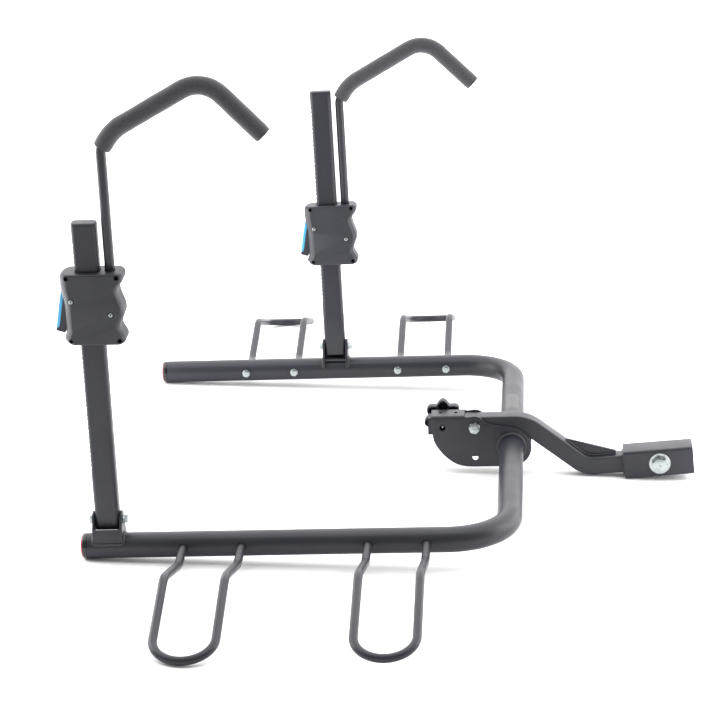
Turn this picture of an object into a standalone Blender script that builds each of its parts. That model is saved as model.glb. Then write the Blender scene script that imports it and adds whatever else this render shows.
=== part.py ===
"""Hitch mounted bike rack for two bikes, modelled as separate parts with real joints.

Lengths below are millimetres. The rack frame has X toward the vehicle, Y across it and Z up,
with its origin at the centre of the crossbar. A root empty then stands the rack on the floor.
"""
import math

import bmesh
import bpy
from mathutils import Matrix, Vector

MM = 0.001
GAP = 0.3                      # clearance between touching parts

# main frame
TUBE_OD = 42.0
TUBE_ID = 36.0
ARM_Y = 457.0                  # arm centreline from the middle
ARM_END_X = -685.0
PLUG_FLANGE = 8.2
CORNER_R = 100.0

# wheel loops
BIKE_PITCH = 300.0
LOOP_X = (-480.0, -180.0)
LOOP_HALF = 47.5               # half the leg spacing, also the end bend radius
LOOP_ROD = 14.0
LOOP_LEVEL = 28.0              # outward from the arm centreline
LOOP_RISE_START = 79.0
LOOP_DIP_Z = -5.0
LOOP_CREST = 220.0
LOOP_CREST_Z = 34.0
LOOP_STRAIGHT_END = 356.0
LOOP_SLOPE = math.radians(17.6)
LOOP_BEND_R = 30.0

# masts
MAST_X = (-650.0, -350.0)
MAST_W = 40.0
MAST_D = 25.0
MAST_WALL = 2.0
MAST_R = 7.5
MAST_PIVOT_Z = 46.0
MAST_TOP = 506.0               # above the pivot
MAST_FOOT = 14.5               # below the pivot
MAST_LEAN = math.radians(3.0)  # leans outward when upright
MAST_PLAY = (math.radians(0.55), math.radians(-0.8))   # slack in the bracket, along the arm
MAST_BORE_R = 4.6
TOOTH_PITCH = 8.0
TOOTH_DEPTH = 1.6
TOOTH_FIRST = 33.0             # below the mast top
TOOTH_COUNT = 48
TOOTH_HALF = 4.5               # half width, inside the flat of the tube

# mast brackets
EAR_T = 4.0
EAR_INNER = MAST_W / 2 + 0.5
EAR_OUTER = EAR_INNER + EAR_T
EAR_TOP_R = 14.0
WALL_INNER = 16.5
WALL_OUTER = 19.8
WALL_FOOT = 9.0
WALL_TOP = 35.0

# clamps
CLAMP_FOOT = (309.5, 168.0)    # housing bottom above the mast pivot
HOUSING_H = 117.0
HOUSING_D = 50.0
GRIP_EDGE = ((8.0, 55.5), (28.0, 48.0), (53.0, 55.5), (88.0, 47.5), (108.0, 57.5))
BACK_EDGE = ((8.0, -43.5), (22.0, -39.5), (62.0, -39.5), (99.0, -44.0), (110.0, -44.0))
TRIGGER_PIN = (-26.0, 73.0)
ROD_PIN = (35.4, 50.5)
PIN_D = 5.0
ROD_X = 35.4
HOOK_ROD = 16.0
HOOK_FOAM = 30.0
HOOK_KNEE_Z = (311.0, 317.5)
HOOK_SHOULDER = (20.0, 31.0)   # from the knee, where the bar turns toward the peak
HOOK_PEAK = ((200.0, 422.0), (205.5, 428.5))
HOOK_TIP = ((288.0, 329.5), (293.5, 339.5))
HOOK_RADII = (18.0, 80.0, 50.0)

# pivot channel and drawbar shank
PIVOT = (-65.0, 37.0)
LOCK_R = 57.0
PLATE_IN = 16.5
PLATE_OUT = 20.5
FAR_PLATE_FOOT = -31.0
SHANK = 31.75
SHANK_WALL = 3.0
SHANK_Z = 38.5
SHANK_START_X = -148.0
SHANK_BEND_1 = (25.8, 38.5)
SHANK_BEND_2 = (131.0, -43.8)
SLEEVE_TILT = math.radians(3.6)
SLEEVE_X = 199.0
SLEEVE_L = 123.0
SLEEVE = 50.8
HITCH_BOLT_D = 16.0
HITCH_BOLT_AT = 63.0           # along the sleeve

# lock knob
KNOB_R = 35.5
KNOB_LOBES = 7
KNOB_Y = (27.5, 48.0)

ROUND = 20


# ---------------------------------------------------------------- scene and materials

def clear_scene():
    for obj in list(bpy.data.objects):
        bpy.data.objects.remove(obj, do_unlink=True)


def material(name, colour, roughness, metallic=0.0):
    mat = bpy.data.materials.new(name)
    mat.use_nodes = True
    bsdf = mat.node_tree.nodes["Principled BSDF"]
    bsdf.inputs["Base Color"].default_value = (*colour, 1.0)
    bsdf.inputs["Roughness"].default_value = roughness
    bsdf.inputs["Metallic"].default_value = metallic
    return mat


FINISHES = {
    "black_coat": ((0.055, 0.057, 0.064), 0.42, 0.0),
    "zinc": ((0.72, 0.75, 0.76), 0.28, 1.0),
    "black_plastic": ((0.035, 0.036, 0.040), 0.5, 0.0),
    "foam": ((0.030, 0.031, 0.034), 0.9, 0.0),
    "blue_plastic": ((0.14, 0.62, 0.92), 0.4, 0.0),
    "red_reflector": ((0.75, 0.03, 0.05), 0.2, 0.0),
    "spring_steel": ((0.45, 0.46, 0.48), 0.3, 1.0),
}


def empty(name, parent, location, rotation=(0.0, 0.0, 0.0)):
    obj = bpy.data.objects.new(name, None)
    obj.empty_display_size = 0.05
    bpy.context.scene.collection.objects.link(obj)
    obj.parent = parent
    obj.location = Vector(location) * MM
    obj.rotation_euler = rotation
    return obj


def make_object(name, bm, finish, parent, origin=(0.0, 0.0, 0.0)):
    """Turn a millimetre bmesh, written in the parent's frame, into a named object."""
    bmesh.ops.recalc_face_normals(bm, faces=bm.faces)
    bmesh.ops.translate(bm, verts=bm.verts, vec=-Vector(origin))
    bmesh.ops.scale(bm, verts=bm.verts, vec=(MM, MM, MM))
    mesh = bpy.data.meshes.new(name)
    bm.to_mesh(mesh)
    bm.free()
    obj = bpy.data.objects.new(name, mesh)
    bpy.context.scene.collection.objects.link(obj)
    obj.parent = parent
    obj.location = Vector(origin) * MM
    colour, roughness, metallic = FINISHES[finish]
    mesh.materials.append(material(name + "_" + finish, colour, roughness, metallic))
    return obj


# ---------------------------------------------------------------- shape tools

def circle(radius, count=ROUND, phase=0.0):
    step = 2.0 * math.pi / count
    return [(radius * math.cos(i * step + phase), radius * math.sin(i * step + phase))
            for i in range(count)]


def rounded_rect(width, height, radius, corner_steps=3):
    points = []
    for corner in range(4):
        start = corner * math.pi / 2
        cx = (width / 2 - radius) * (1 if corner in (0, 3) else -1)
        cy = (height / 2 - radius) * (1 if corner in (0, 1) else -1)
        for i in range(corner_steps + 1):
            angle = start + i * math.pi / 2 / corner_steps
            points.append((cx + radius * math.cos(angle), cy + radius * math.sin(angle)))
    return points


def bend_path(corners, radii, steps=6):
    """Round the inner corners of a polyline with arcs and return the points."""
    points = [Vector(corners[0])]
    for i in range(1, len(corners) - 1):
        here = Vector(corners[i])
        back = (Vector(corners[i - 1]) - here).normalized()
        ahead = (Vector(corners[i + 1]) - here).normalized()
        half = back.angle(ahead) / 2
        reach = radii[i - 1] / math.tan(half)
        centre = here + (back + ahead).normalized() * radii[i - 1] / math.sin(half)
        first = here + back * reach - centre
        last = here + ahead * reach - centre
        turn = first.angle(last)
        for k in range(steps + 1):
            t = k / steps
            spoke = (first * math.sin((1 - t) * turn) + last * math.sin(t * turn)) / math.sin(turn)
            points.append(centre + spoke)
    points.append(Vector(corners[-1]))
    return points


def section_rings(bm, path, section, normal):
    """Place a section at every path point, mitred, for a path that lies in one plane."""
    normal = Vector(normal).normalized()
    rings = []
    for i, point in enumerate(path):
        back = (point - path[i - 1]).normalized() if i else None
        ahead = (path[i + 1] - point).normalized() if i < len(path) - 1 else None
        tangent = ((back or ahead) + (ahead or back)).normalized()
        side = normal.cross(tangent).normalized()
        stretch = 1.0 / max(0.5, tangent.dot(ahead or back))
        rings.append([bm.verts.new(point + side * u * stretch + normal * v) for u, v in section])
    return rings


def bridge_rings(bm, first, second):
    count = len(first)
    for i in range(count):
        j = (i + 1) % count
        bm.faces.new((first[i], first[j], second[j], second[i]))


def sweep(path, outer, normal, inner=None):
    """Sweep a solid or hollow section along a planar path."""
    bm = bmesh.new()
    shells = [section_rings(bm, path, outer, normal)]
    if inner:
        shells.append(section_rings(bm, path, inner, normal))
    for rings in shells:
        for first, second in zip(rings, rings[1:]):
            bridge_rings(bm, first, second)
    if inner:
        bridge_rings(bm, shells[0][0], shells[1][0])
        bridge_rings(bm, shells[0][-1], shells[1][-1])
    else:
        bm.faces.new(shells[0][0])
        bm.faces.new(shells[0][-1])
    return bm


def lathe(profile, origin, axis, count=ROUND, phase=0.0):
    """Solid of revolution from (radius, along) pairs; the ends are closed with flat faces."""
    bm = bmesh.new()
    axis = Vector(axis).normalized()
    side = axis.orthogonal().normalized()
    other = axis.cross(side)
    rings = []
    for radius, along in profile:
        ring = [bm.verts.new(Vector(origin) + axis * along + side * u + other * v)
                for u, v in circle(radius, count, phase)]
        rings.append(ring)
    for first, second in zip(rings, rings[1:]):
        bridge_rings(bm, first, second)
    bm.faces.new(rings[0])
    bm.faces.new(rings[-1])
    return bm


def ring_body(profile, origin, axis, count=ROUND):
    """Closed ring of revolution: the (radius, along) profile is a loop."""
    bm = bmesh.new()
    axis = Vector(axis).normalized()
    side = axis.orthogonal().normalized()
    other = axis.cross(side)
    rings = []
    for radius, along in profile:
        rings.append([bm.verts.new(Vector(origin) + axis * along + side * u + other * v)
                      for u, v in circle(radius, count)])
    for i, ring in enumerate(rings):
        bridge_rings(bm, ring, rings[(i + 1) % len(rings)])
    return bm


def plate_xz(outline, y0, y1):
    """Extrude an outline of (x, z) points across Y."""
    bm = bmesh.new()
    near = [bm.verts.new((x, y0, z)) for x, z in outline]
    far = [bm.verts.new((x, y1, z)) for x, z in outline]
    bridge_rings(bm, near, far)
    bm.faces.new(near)
    bm.faces.new(far)
    return bm


def box(x0, x1, y0, y1, z0, z1):
    return plate_xz(((x0, z0), (x1, z0), (x1, z1), (x0, z1)), y0, y1)


def cylinder(radius, start, end, count=ROUND, phase=0.0):
    length = (Vector(end) - Vector(start)).length
    return lathe(((radius, 0.0), (radius, length)), start, Vector(end) - Vector(start),
                 count, phase)


def merged(parts):
    """Put disjoint bmeshes in one."""
    target = bmesh.new()
    for part in parts:
        mesh = bpy.data.meshes.new("scratch")
        bmesh.ops.recalc_face_normals(part, faces=part.faces)
        part.to_mesh(mesh)
        part.free()
        target.from_mesh(mesh)
        bpy.data.meshes.remove(mesh)
    return target


def boolean(base, tool, operation):
    """Exact boolean of two bmeshes through Blender's modifier."""
    objects = []
    for bm in (base, tool):
        bmesh.ops.recalc_face_normals(bm, faces=bm.faces)
        mesh = bpy.data.meshes.new("scratch")
        bm.to_mesh(mesh)
        bm.free()
        obj = bpy.data.objects.new("scratch", mesh)
        bpy.context.scene.collection.objects.link(obj)
        objects.append(obj)
    modifier = objects[0].modifiers.new("cut", "BOOLEAN")
    modifier.operation = operation
    modifier.solver = "EXACT"
    modifier.object = objects[1]
    graph = bpy.context.evaluated_depsgraph_get()
    result = bmesh.new()
    result.from_object(objects[0], graph)
    for obj in objects:
        mesh = obj.data
        bpy.data.objects.remove(obj, do_unlink=True)
        bpy.data.meshes.remove(mesh)
    bmesh.ops.remove_doubles(result, verts=result.verts, dist=0.002)
    return result


def cut(base, tools):
    return boolean(base, merged(tools), "DIFFERENCE")


def fused(parts):
    result = parts[0]
    for part in parts[1:]:
        result = boolean(result, part, "UNION")
    return result


def hex_bolt(head_flat, head_t, shank_d, shank_l, origin, axis):
    """Hex head from the origin outward against the axis, shank along the axis."""
    corner = head_flat / 2 / math.cos(math.pi / 6)
    head = lathe(((corner * 0.9, -head_t), (corner, -head_t * 0.82), (corner, 0.0)),
                 origin, axis, 6, math.pi / 6)
    shank = lathe(((shank_d / 2, -head_t * 0.4), (shank_d / 2, shank_l - 1.0),
                   (shank_d / 2 - 1.0, shank_l)), origin, axis, 10)
    return boolean(head, shank, "UNION")


def hex_nut(flat, thickness, bore, origin, axis):
    corner = flat / 2 / math.cos(math.pi / 6)
    body = lathe(((corner, 0.0), (corner, thickness * 0.84), (corner * 0.9, thickness)),
                 origin, axis, 6, math.pi / 6)
    hole = lathe(((bore / 2, -1.0), (bore / 2, thickness + 1.0)), origin, axis, 12)
    return boolean(body, hole, "DIFFERENCE")


# ---------------------------------------------------------------- frame tube and ends

def loop_leg_positions():
    return [mid + side * LOOP_HALF for mid in LOOP_X for side in (-1, 1)]


def build_frame_tube(parent):
    corners = ((ARM_END_X, -ARM_Y, 0.0), (0.0, -ARM_Y, 0.0), (0.0, ARM_Y, 0.0),
               (ARM_END_X, ARM_Y, 0.0))
    path = bend_path(corners, (CORNER_R, CORNER_R), 7)
    tube = sweep(path, circle(TUBE_OD / 2), (0, 0, 1), circle(TUBE_ID / 2))
    holes = []
    for side in (-1, 1):
        for x in loop_leg_positions():
            arm = side * ARM_Y
            holes.append(cylinder(LOOP_ROD / 2 + GAP, (x, arm + side * 5, 0),
                                  (x, arm + side * 30, 0), 12))
            holes.append(cylinder(4.3, (x, arm - side * 30, 0), (x, arm - side * 5, 0), 12))
    return make_object("main_frame_tube", cut(tube, holes), "black_coat", parent)


def build_end_plug(parent, label, side):
    start = ARM_END_X - GAP
    body = lathe(((TUBE_ID / 2 - GAP, 16.0), (TUBE_ID / 2 - GAP, 0.0), (TUBE_OD / 2, 0.0),
                  (TUBE_OD / 2, 0.8 - PLUG_FLANGE), (TUBE_OD / 2 - 0.8, -PLUG_FLANGE)),
                 (start, side * ARM_Y, 0), (1, 0, 0), 24)
    pocket = cylinder(TUBE_ID / 2 - 3.0, (start + 2.0, side * ARM_Y, 0),
                      (start + 20.0, side * ARM_Y, 0), 16)
    make_object(label + "_end_plug", cut(body, [pocket]), "black_plastic", parent)
    face = start - PLUG_FLANGE - GAP
    disc = lathe(((19.2, 0.0), (19.2, -1.4), (17.5, -2.4), (9.0, -2.9)),
                 (face, side * ARM_Y, 0), (1, 0, 0), 24)
    make_object(label + "_reflector", disc, "red_reflector", parent)


# ---------------------------------------------------------------- wheel loops

def loop_profile(side):
    """Outward path of one leg as (y, z), ending where the end bend starts."""
    drop = (LOOP_STRAIGHT_END - LOOP_CREST) * math.tan(LOOP_SLOPE)
    start = side * (ARM_Y - math.sqrt((TUBE_ID / 2) ** 2 - (LOOP_ROD / 2) ** 2) + 2 * GAP)
    return ((start, 0.0), (side * (ARM_Y + LOOP_LEVEL), 0.0),
            (side * (ARM_Y + LOOP_RISE_START), LOOP_DIP_Z),
            (side * (ARM_Y + LOOP_CREST), LOOP_CREST_Z),
            (side * (ARM_Y + LOOP_STRAIGHT_END), LOOP_CREST_Z - drop))


def loop_rings(bm, centre_x, side):
    """Rings along leg, end bend and other leg, each perpendicular to the rod."""
    leg = bend_path([(0.0, y, z) for y, z in loop_profile(side)], (LOOP_BEND_R,) * 3, 2)
    outward = (leg[-1] - leg[-2]).normalized()
    sideways = Vector((1, 0, 0))
    centres = []
    for point in leg:
        centres.append(point + sideways * (centre_x - LOOP_HALF))
    for i in range(1, 8):
        angle = math.pi * i / 8
        centres.append(leg[-1] + sideways * (centre_x - LOOP_HALF * math.cos(angle))
                       + outward * LOOP_HALF * math.sin(angle))
    for point in reversed(leg):
        centres.append(point + sideways * (centre_x + LOOP_HALF))
    rings = []
    up = Vector((0, 0, 1))
    for i, point in enumerate(centres):
        back = (point - centres[i - 1]).normalized() if i else None
        ahead = (centres[i + 1] - point).normalized() if i < len(centres) - 1 else None
        tangent = ((back or ahead) + (ahead or back)).normalized()
        across = tangent.cross(up).normalized()
        rise = across.cross(tangent).normalized()
        rings.append([bm.verts.new(point + across * u + rise * v)
                      for u, v in circle(LOOP_ROD / 2, 10)])
    return rings


def build_wheel_loop(parent, label, centre_x, side):
    bm = bmesh.new()
    rings = loop_rings(bm, centre_x, side)
    for first, second in zip(rings, rings[1:]):
        bridge_rings(bm, first, second)
    bm.faces.new(rings[0])
    bm.faces.new(rings[-1])
    start = side * (ARM_Y - TUBE_ID / 2)
    bores = [cylinder(4.3, (centre_x + leg * LOOP_HALF, start - side * 2, 0),
                      (centre_x + leg * LOOP_HALF, start + side * 24, 0), 10)
             for leg in (-1, 1)]
    make_object(label + "_wheel_loop", cut(bm, bores), "black_coat", parent)
    seat = side * (ARM_Y - TUBE_OD / 2 - GAP)
    for leg, end in ((-1, "outer"), (1, "inner")):
        bolt = hex_bolt(13.0, 5.3, 8.0, 24.0, (centre_x + leg * LOOP_HALF, seat, 0),
                        (0, side, 0))
        make_object(label + "_bolt_" + end, bolt, "zinc", parent)


# ---------------------------------------------------------------- mast brackets and masts

def ear_outline(side):
    """Ear as (y, z) points about the arm axis; the wall side is outward."""
    top = [(EAR_TOP_R * math.cos(a), MAST_PIVOT_Z + EAR_TOP_R * math.sin(a))
           for a in [math.pi * i / 8 for i in range(9)]]
    points = [(WALL_OUTER, WALL_FOOT), (WALL_OUTER, WALL_TOP)] + top
    points += [(-17.5, 34.0), (-21.0, 20.0), (-22.5, 7.0), (-19.5, 6.0)]
    return [(side * y, z) for y, z in points]


def bracket_ear(centre_x, side, x0, x1):
    bm = bmesh.new()
    outline = ear_outline(side)
    first = [bm.verts.new((centre_x + x0, side * ARM_Y + y, z)) for y, z in outline]
    second = [bm.verts.new((centre_x + x1, side * ARM_Y + y, z)) for y, z in outline]
    bridge_rings(bm, first, second)
    bm.faces.new(first)
    bm.faces.new(second)
    return bm


def build_mast_bracket(parent, label, centre_x, side):
    arm = side * ARM_Y
    left = bracket_ear(centre_x, side, -EAR_OUTER, -EAR_INNER)
    right = bracket_ear(centre_x, side, EAR_INNER, EAR_OUTER)
    y_wall = sorted((arm + side * WALL_INNER, arm + side * WALL_OUTER))
    wall = box(centre_x - EAR_INNER - 1, centre_x + EAR_INNER + 1, y_wall[0], y_wall[1],
               WALL_FOOT, WALL_TOP)
    y_web = sorted((arm + side * (WALL_INNER + 1), arm - side * 17.0))
    web = box(centre_x - EAR_INNER - 1, centre_x + EAR_INNER + 1, y_web[0], y_web[1],
              TUBE_OD / 2 + GAP - 2.0, TUBE_OD / 2 + 3.0)
    body = fused([left, right, wall, web])
    saddle = cylinder(TUBE_OD / 2 + GAP, (centre_x - 60, arm, 0), (centre_x + 60, arm, 0), 24)
    body = cut(body, [saddle])
    bore = cylinder(4.3, (centre_x - 60, arm, MAST_PIVOT_Z), (centre_x + 60, arm, MAST_PIVOT_Z),
                    12)
    make_object(label + "_mast_bracket", cut(body, [bore]), "black_coat", parent)


def build_mast_fasteners(parent, label, centre_x, side):
    arm = side * ARM_Y
    seat = EAR_OUTER + GAP
    bolt = hex_bolt(13.0, 8.0, 8.0, 2 * seat + 6.5, (centre_x + seat, arm, MAST_PIVOT_Z),
                    (-1, 0, 0))
    make_object(label + "_mast_bolt", bolt, "zinc", parent)
    nut = hex_nut(13.0, 5.0, 8.6, (centre_x - seat, arm, MAST_PIVOT_Z), (-1, 0, 0))
    make_object(label + "_mast_nut", nut, "zinc", parent)


def build_mast(parent, label):
    """Toothed mast tube in the mast frame: origin on the pivot, Z up the mast."""
    path = [Vector((0, 0, -MAST_FOOT)), Vector((0, 0, MAST_TOP - 4.0))]
    outer = [(v, u) for u, v in rounded_rect(MAST_W, MAST_D, MAST_R, 3)]
    inner = [(v, u) for u, v in rounded_rect(MAST_W - 2 * MAST_WALL, MAST_D - 2 * MAST_WALL,
                                             MAST_R - MAST_WALL, 3)]
    tube = bmesh.new()
    ring_sets = []
    for section in (outer, inner):
        rings = [[tube.verts.new((x, y, p.z)) for y, x in section] for p in path]
        bridge_rings(tube, rings[0], rings[1])
        ring_sets.append(rings)
    fill_annulus(tube, ring_sets[0][0], ring_sets[1][0])
    fill_annulus(tube, ring_sets[0][1], ring_sets[1][1])
    teeth = []
    for i in range(TOOTH_COUNT):
        z = MAST_TOP - TOOTH_FIRST - i * TOOTH_PITCH
        outline = ((-MAST_W / 2 - 1.0, z + 1.6), (-MAST_W / 2 + TOOTH_DEPTH, z),
                   (-MAST_W / 2 + TOOTH_DEPTH, z - 2.2), (-MAST_W / 2 - 1.0, z - 3.8))
        teeth.append(plate_xz(outline, -TOOTH_HALF, TOOTH_HALF))
    tube = cut(tube, teeth)
    bore = cylinder(MAST_BORE_R, (-30, 0, 0), (30, 0, 0), 12)
    make_object(label + "_mast", cut(tube, [bore]), "black_coat", parent)
    cap = cap_body(MAST_TOP - 4.0)
    make_object(label + "_mast_cap", cap, "black_plastic", parent)


def fill_annulus(bm, outer, inner):
    """Close the flat end between two concentric loops."""
    edges = set()
    for loop in (outer, inner):
        for i, vert in enumerate(loop):
            edges.add(bm.edges.get((vert, loop[(i + 1) % len(loop)])))
    bmesh.ops.triangle_fill(bm, edges=list(edges), use_beauty=True, use_dissolve=False)


def cap_body(top):
    """Push-in cap: a flange over the tube end and a short plug inside it."""
    bm = bmesh.new()
    inset = MAST_WALL + GAP
    levels = ((MAST_W - 2 * inset, MAST_D - 2 * inset, MAST_R - inset, -14.0),
              (MAST_W - 2 * inset, MAST_D - 2 * inset, MAST_R - inset, GAP),
              (MAST_W, MAST_D, MAST_R, GAP),
              (MAST_W, MAST_D, MAST_R, 2.6),
              (MAST_W - 2.0, MAST_D - 2.0, MAST_R - 1.0, 4.0))
    rings = []
    for width, depth, radius, z in levels:
        rings.append([bm.verts.new((x, y, top + z))
                      for x, y in rounded_rect(width, depth, radius, 3)])
    for first, second in zip(rings, rings[1:]):
        bridge_rings(bm, first, second)
    bm.faces.new(rings[0])
    bm.faces.new(rings[-1])
    return bm


# ---------------------------------------------------------------- clamp housing

def eased_edge(pairs, steps=4):
    """Smooth run through (height, reach) pairs."""
    points = []
    for (z0, x0), (z1, x1) in zip(pairs, pairs[1:]):
        for i in range(steps):
            t = i / steps
            blend = (1 - math.cos(math.pi * t)) / 2
            points.append((x0 + (x1 - x0) * blend, z0 + (z1 - z0) * t))
    points.append((pairs[-1][1], pairs[-1][0]))
    return points


def housing_outline():
    """Front view of the housing as (x, z) points, counterclockwise from the lower left."""
    right = eased_edge(GRIP_EDGE)
    left = eased_edge(BACK_EDGE)
    left.reverse()
    points = [(-34.0, 0.0), (47.0, 0.0), (52.5, 2.6)]
    points += right
    points += [(55.0, 114.6), (50.0, HOUSING_H), (-38.0, HOUSING_H), (-42.4, 115.0)]
    points += left
    points.append((-40.0, 2.4))
    return points


def housing_shell(near):
    """One half shell: the outline narrows toward the flat face."""
    sign = -1 if near else 1
    outline = housing_outline()
    middle_x = 6.0
    levels = ((0.15, 0.0, 0.0), (10.0, 0.8, 0.0), (18.0, 4.0, 0.4), (22.5, 7.6, 1.2),
              (HOUSING_D / 2, 11.5, 3.0))
    bm = bmesh.new()
    rings = []
    for depth, inset_x, inset_z in levels:
        ring = []
        for x, z in outline:
            half = abs(x - middle_x)
            scale = (half - inset_x * min(1.0, half / 42.0)) / max(half, 1e-6)
            z_mid = HOUSING_H / 2
            squeeze = 1.0 - inset_z / z_mid
            ring.append(bm.verts.new((middle_x + (x - middle_x) * scale, sign * depth,
                                      z_mid + (z - z_mid) * squeeze)))
        rings.append(ring)
    for first, second in zip(rings, rings[1:]):
        bridge_rings(bm, first, second)
    bm.faces.new(rings[0])
    bm.faces.new(rings[-1])
    return bm


def build_shells(parent, label):
    for near, name in ((True, "_shell_near"), (False, "_shell_far")):
        sign = -1 if near else 1
        body = housing_shell(near)
        span = sorted((0.0 - sign * 1.0, sign * (MAST_D / 2 + 0.5)))
        channel = box(-MAST_W / 2 - 0.5, MAST_W / 2 + 0.5, span[0], span[1], -5.0,
                      HOUSING_H + 5.0)
        body = cut(body, [channel])
        span = sorted((0.0 - sign * 1.0, sign * 8.7))
        bay = box(-35.5, -MAST_W / 2 + 3.0, span[0], span[1], 61.0, 101.0)
        body = cut(body, [bay])
        mouth = box(-60.0, -30.5, span[0], span[1], 11.0, 97.5)
        body = cut(body, [mouth])
        rod = cylinder(HOOK_ROD / 2 + GAP, (ROD_X, 0, 28.0), (ROD_X, 0, HOUSING_H + 5.0), 16)
        body = cut(body, [rod])
        pins = [cylinder(PIN_D / 2 + GAP, (x, -30, z), (x, 30, z), 12)
                for x, z in (TRIGGER_PIN, ROD_PIN)]
        body = cut(body, pins)
        if not near:
            seat = cylinder(5.2, (TRIGGER_PIN[0], 5.0, TRIGGER_PIN[1]),
                            (TRIGGER_PIN[0], 12.4, TRIGGER_PIN[1]), 16)
            body = cut(body, [seat])
        make_object(label + name, body, "black_plastic", parent)


def build_rivet(parent, name, at):
    face = HOUSING_D / 2 + GAP
    profile = ((2.4, -face - 1.3), (3.5, -face - 0.8), (3.5, -face), (PIN_D / 2, -face),
               (PIN_D / 2, face), (3.5, face), (3.5, face + 0.8), (2.4, face + 1.3))
    rivet = lathe(profile, (at[0], 0, at[1]), (0, 1, 0), 10)
    make_object(name, rivet, "zinc", parent)


# ---------------------------------------------------------------- trigger

INSERT_TOP = (-43.0, 90.0)
INSERT_FOOT = (-55.5, 26.0)
INSERT_T = 5.0


def trigger_inward(depth):
    run = Vector((INSERT_FOOT[0] - INSERT_TOP[0], INSERT_FOOT[1] - INSERT_TOP[1])).normalized()
    inward = Vector((-run.y, run.x)) * depth
    return [(INSERT_TOP[0] + inward.x, INSERT_TOP[1] + inward.y),
            (INSERT_FOOT[0] + inward.x, INSERT_FOOT[1] + inward.y)]


def build_trigger(parent, label):
    """Lever in the clamp frame, with its origin moved to the trigger pin."""
    seat = trigger_inward(INSERT_T + GAP)
    outline = [(-39.8, 92.2), seat[0], seat[1], (-55.7, 25.2), (-56.3, 20.8), (-39.8, 15.8),
               (-37.2, 42.0), (-34.2, 60.0), (-28.0, 67.0), (-22.8, 69.5), (-21.3, 72.0),
               (-21.3, 75.5), (-24.3, 80.0), (-24.3, 98.0), (-29.5, 98.0), (-30.5, 84.0),
               (-35.0, 88.0)]
    origin = (TRIGGER_PIN[0], 0, TRIGGER_PIN[1])
    lever = plate_xz(outline, -8.0, 8.0)
    hole = cylinder(PIN_D / 2 + GAP, (origin[0], -20, origin[2]), (origin[0], 20, origin[2]), 12)
    shift = -Vector(origin)
    lever = cut(lever, [hole])
    bmesh.ops.translate(lever, verts=lever.verts, vec=shift)
    make_object(label + "_trigger", lever, "black_plastic", parent)
    inner = trigger_inward(INSERT_T)
    insert = plate_xz((INSERT_TOP, INSERT_FOOT, inner[1], inner[0]), -7.0, 7.0)
    bmesh.ops.translate(insert, verts=insert.verts, vec=shift)
    make_object(label + "_trigger_insert", insert, "blue_plastic", parent)
    pawl = plate_xz(((-24.0, 85.0), (-20.5, 88.5), (-20.5, 91.0), (-24.0, 95.0)), -6.0, 6.0)
    bmesh.ops.translate(pawl, verts=pawl.verts, vec=shift)
    make_object(label + "_pawl", pawl, "spring_steel", parent)


def build_trigger_spring(parent, label):
    """Two turns of round wire about the trigger pin."""
    bm = bmesh.new()
    rings = []
    turns = 2.5
    steps = 20
    for i in range(steps + 1):
        angle = 2 * math.pi * turns * i / steps
        along = 9.3 + 2.2 * i / steps
        out = Vector((math.cos(angle), 0, math.sin(angle)))
        centre = Vector((TRIGGER_PIN[0], along, TRIGGER_PIN[1])) + out * 3.9
        rings.append([bm.verts.new(centre + out * u + Vector((0, v, 0)))
                      for u, v in circle(0.4, 5)])
    for first, second in zip(rings, rings[1:]):
        bridge_rings(bm, first, second)
    bm.faces.new(rings[0])
    bm.faces.new(rings[-1])
    make_object(label + "_trigger_spring", bm, "spring_steel", parent)


# ---------------------------------------------------------------- hook

def hook_corners(index, foot):
    peak, tip = HOOK_PEAK[index], HOOK_TIP[index]
    return ((ROD_X, 0, foot), (ROD_X, 0, HOOK_KNEE_Z[index]),
            (ROD_X + HOOK_SHOULDER[0], 0, HOOK_KNEE_Z[index] + HOOK_SHOULDER[1]),
            (peak[0], 0, peak[1]), (tip[0], 0, tip[1]))


def build_hook(parent, label, index):
    """Bent bar, with a foam tube from just past its knee to its tip."""
    bends = bend_path(hook_corners(index, 30.0), HOOK_RADII, 4)
    path = bends[:-1] + [bends[-1] + (bends[-2] - bends[-1]).normalized() * 4.0]
    rod = sweep(path, circle(HOOK_ROD / 2, 12), (0, 1, 0))
    hole = cylinder(PIN_D / 2 + GAP, (ROD_PIN[0], -20, ROD_PIN[1]),
                    (ROD_PIN[0], 20, ROD_PIN[1]), 12)
    make_object(label + "_hook_rod", cut(rod, [hole]), "black_coat", parent)
    foam = sweep(bends[5:], circle(HOOK_FOAM / 2, 12), (0, 1, 0),
                 circle(HOOK_ROD / 2 + GAP, 12))
    make_object(label + "_hook_foam", foam, "foam", parent)


# ---------------------------------------------------------------- pivot channel

def arc_points(centre, radius, start, end, steps):
    return [(centre[0] + radius * math.cos(math.radians(start + (end - start) * i / steps)),
             centre[1] + radius * math.sin(math.radians(start + (end - start) * i / steps)))
            for i in range(steps + 1)]


def channel_outline(lowest):
    """Side plate as (x, z) points: bridge end, pivot ear, then around the crossbar."""
    points = [(-142.0, 59.0), (-141.0, 30.0)]
    points += [(-134.0, 12.0), (-122.5, -5.0), (-109.0, -20.0), (-94.4, -31.0),
               (-78.7, -35.2), (-60.0, -37.3), (0.0, -37.3)]
    points += arc_points((0.0, -2.0), 35.3, -80.0, 50.0, 9)
    points += [(12.4, 32.0), (-13.5, 38.2), (-34.4, 42.0), (-43.5, 44.5)]
    points += arc_points(PIVOT, 20.5, 25.0, 105.0, 5)
    points += [(-80.0, 55.3), (-82.5, 59.0)]
    kept = []
    for i, (x, z) in enumerate(points):
        below = [points[j][1] < lowest for j in (i - 1, i, (i + 1) % len(points))]
        if not all(below):
            kept.append((x, max(z, lowest)))
    return kept


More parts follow.
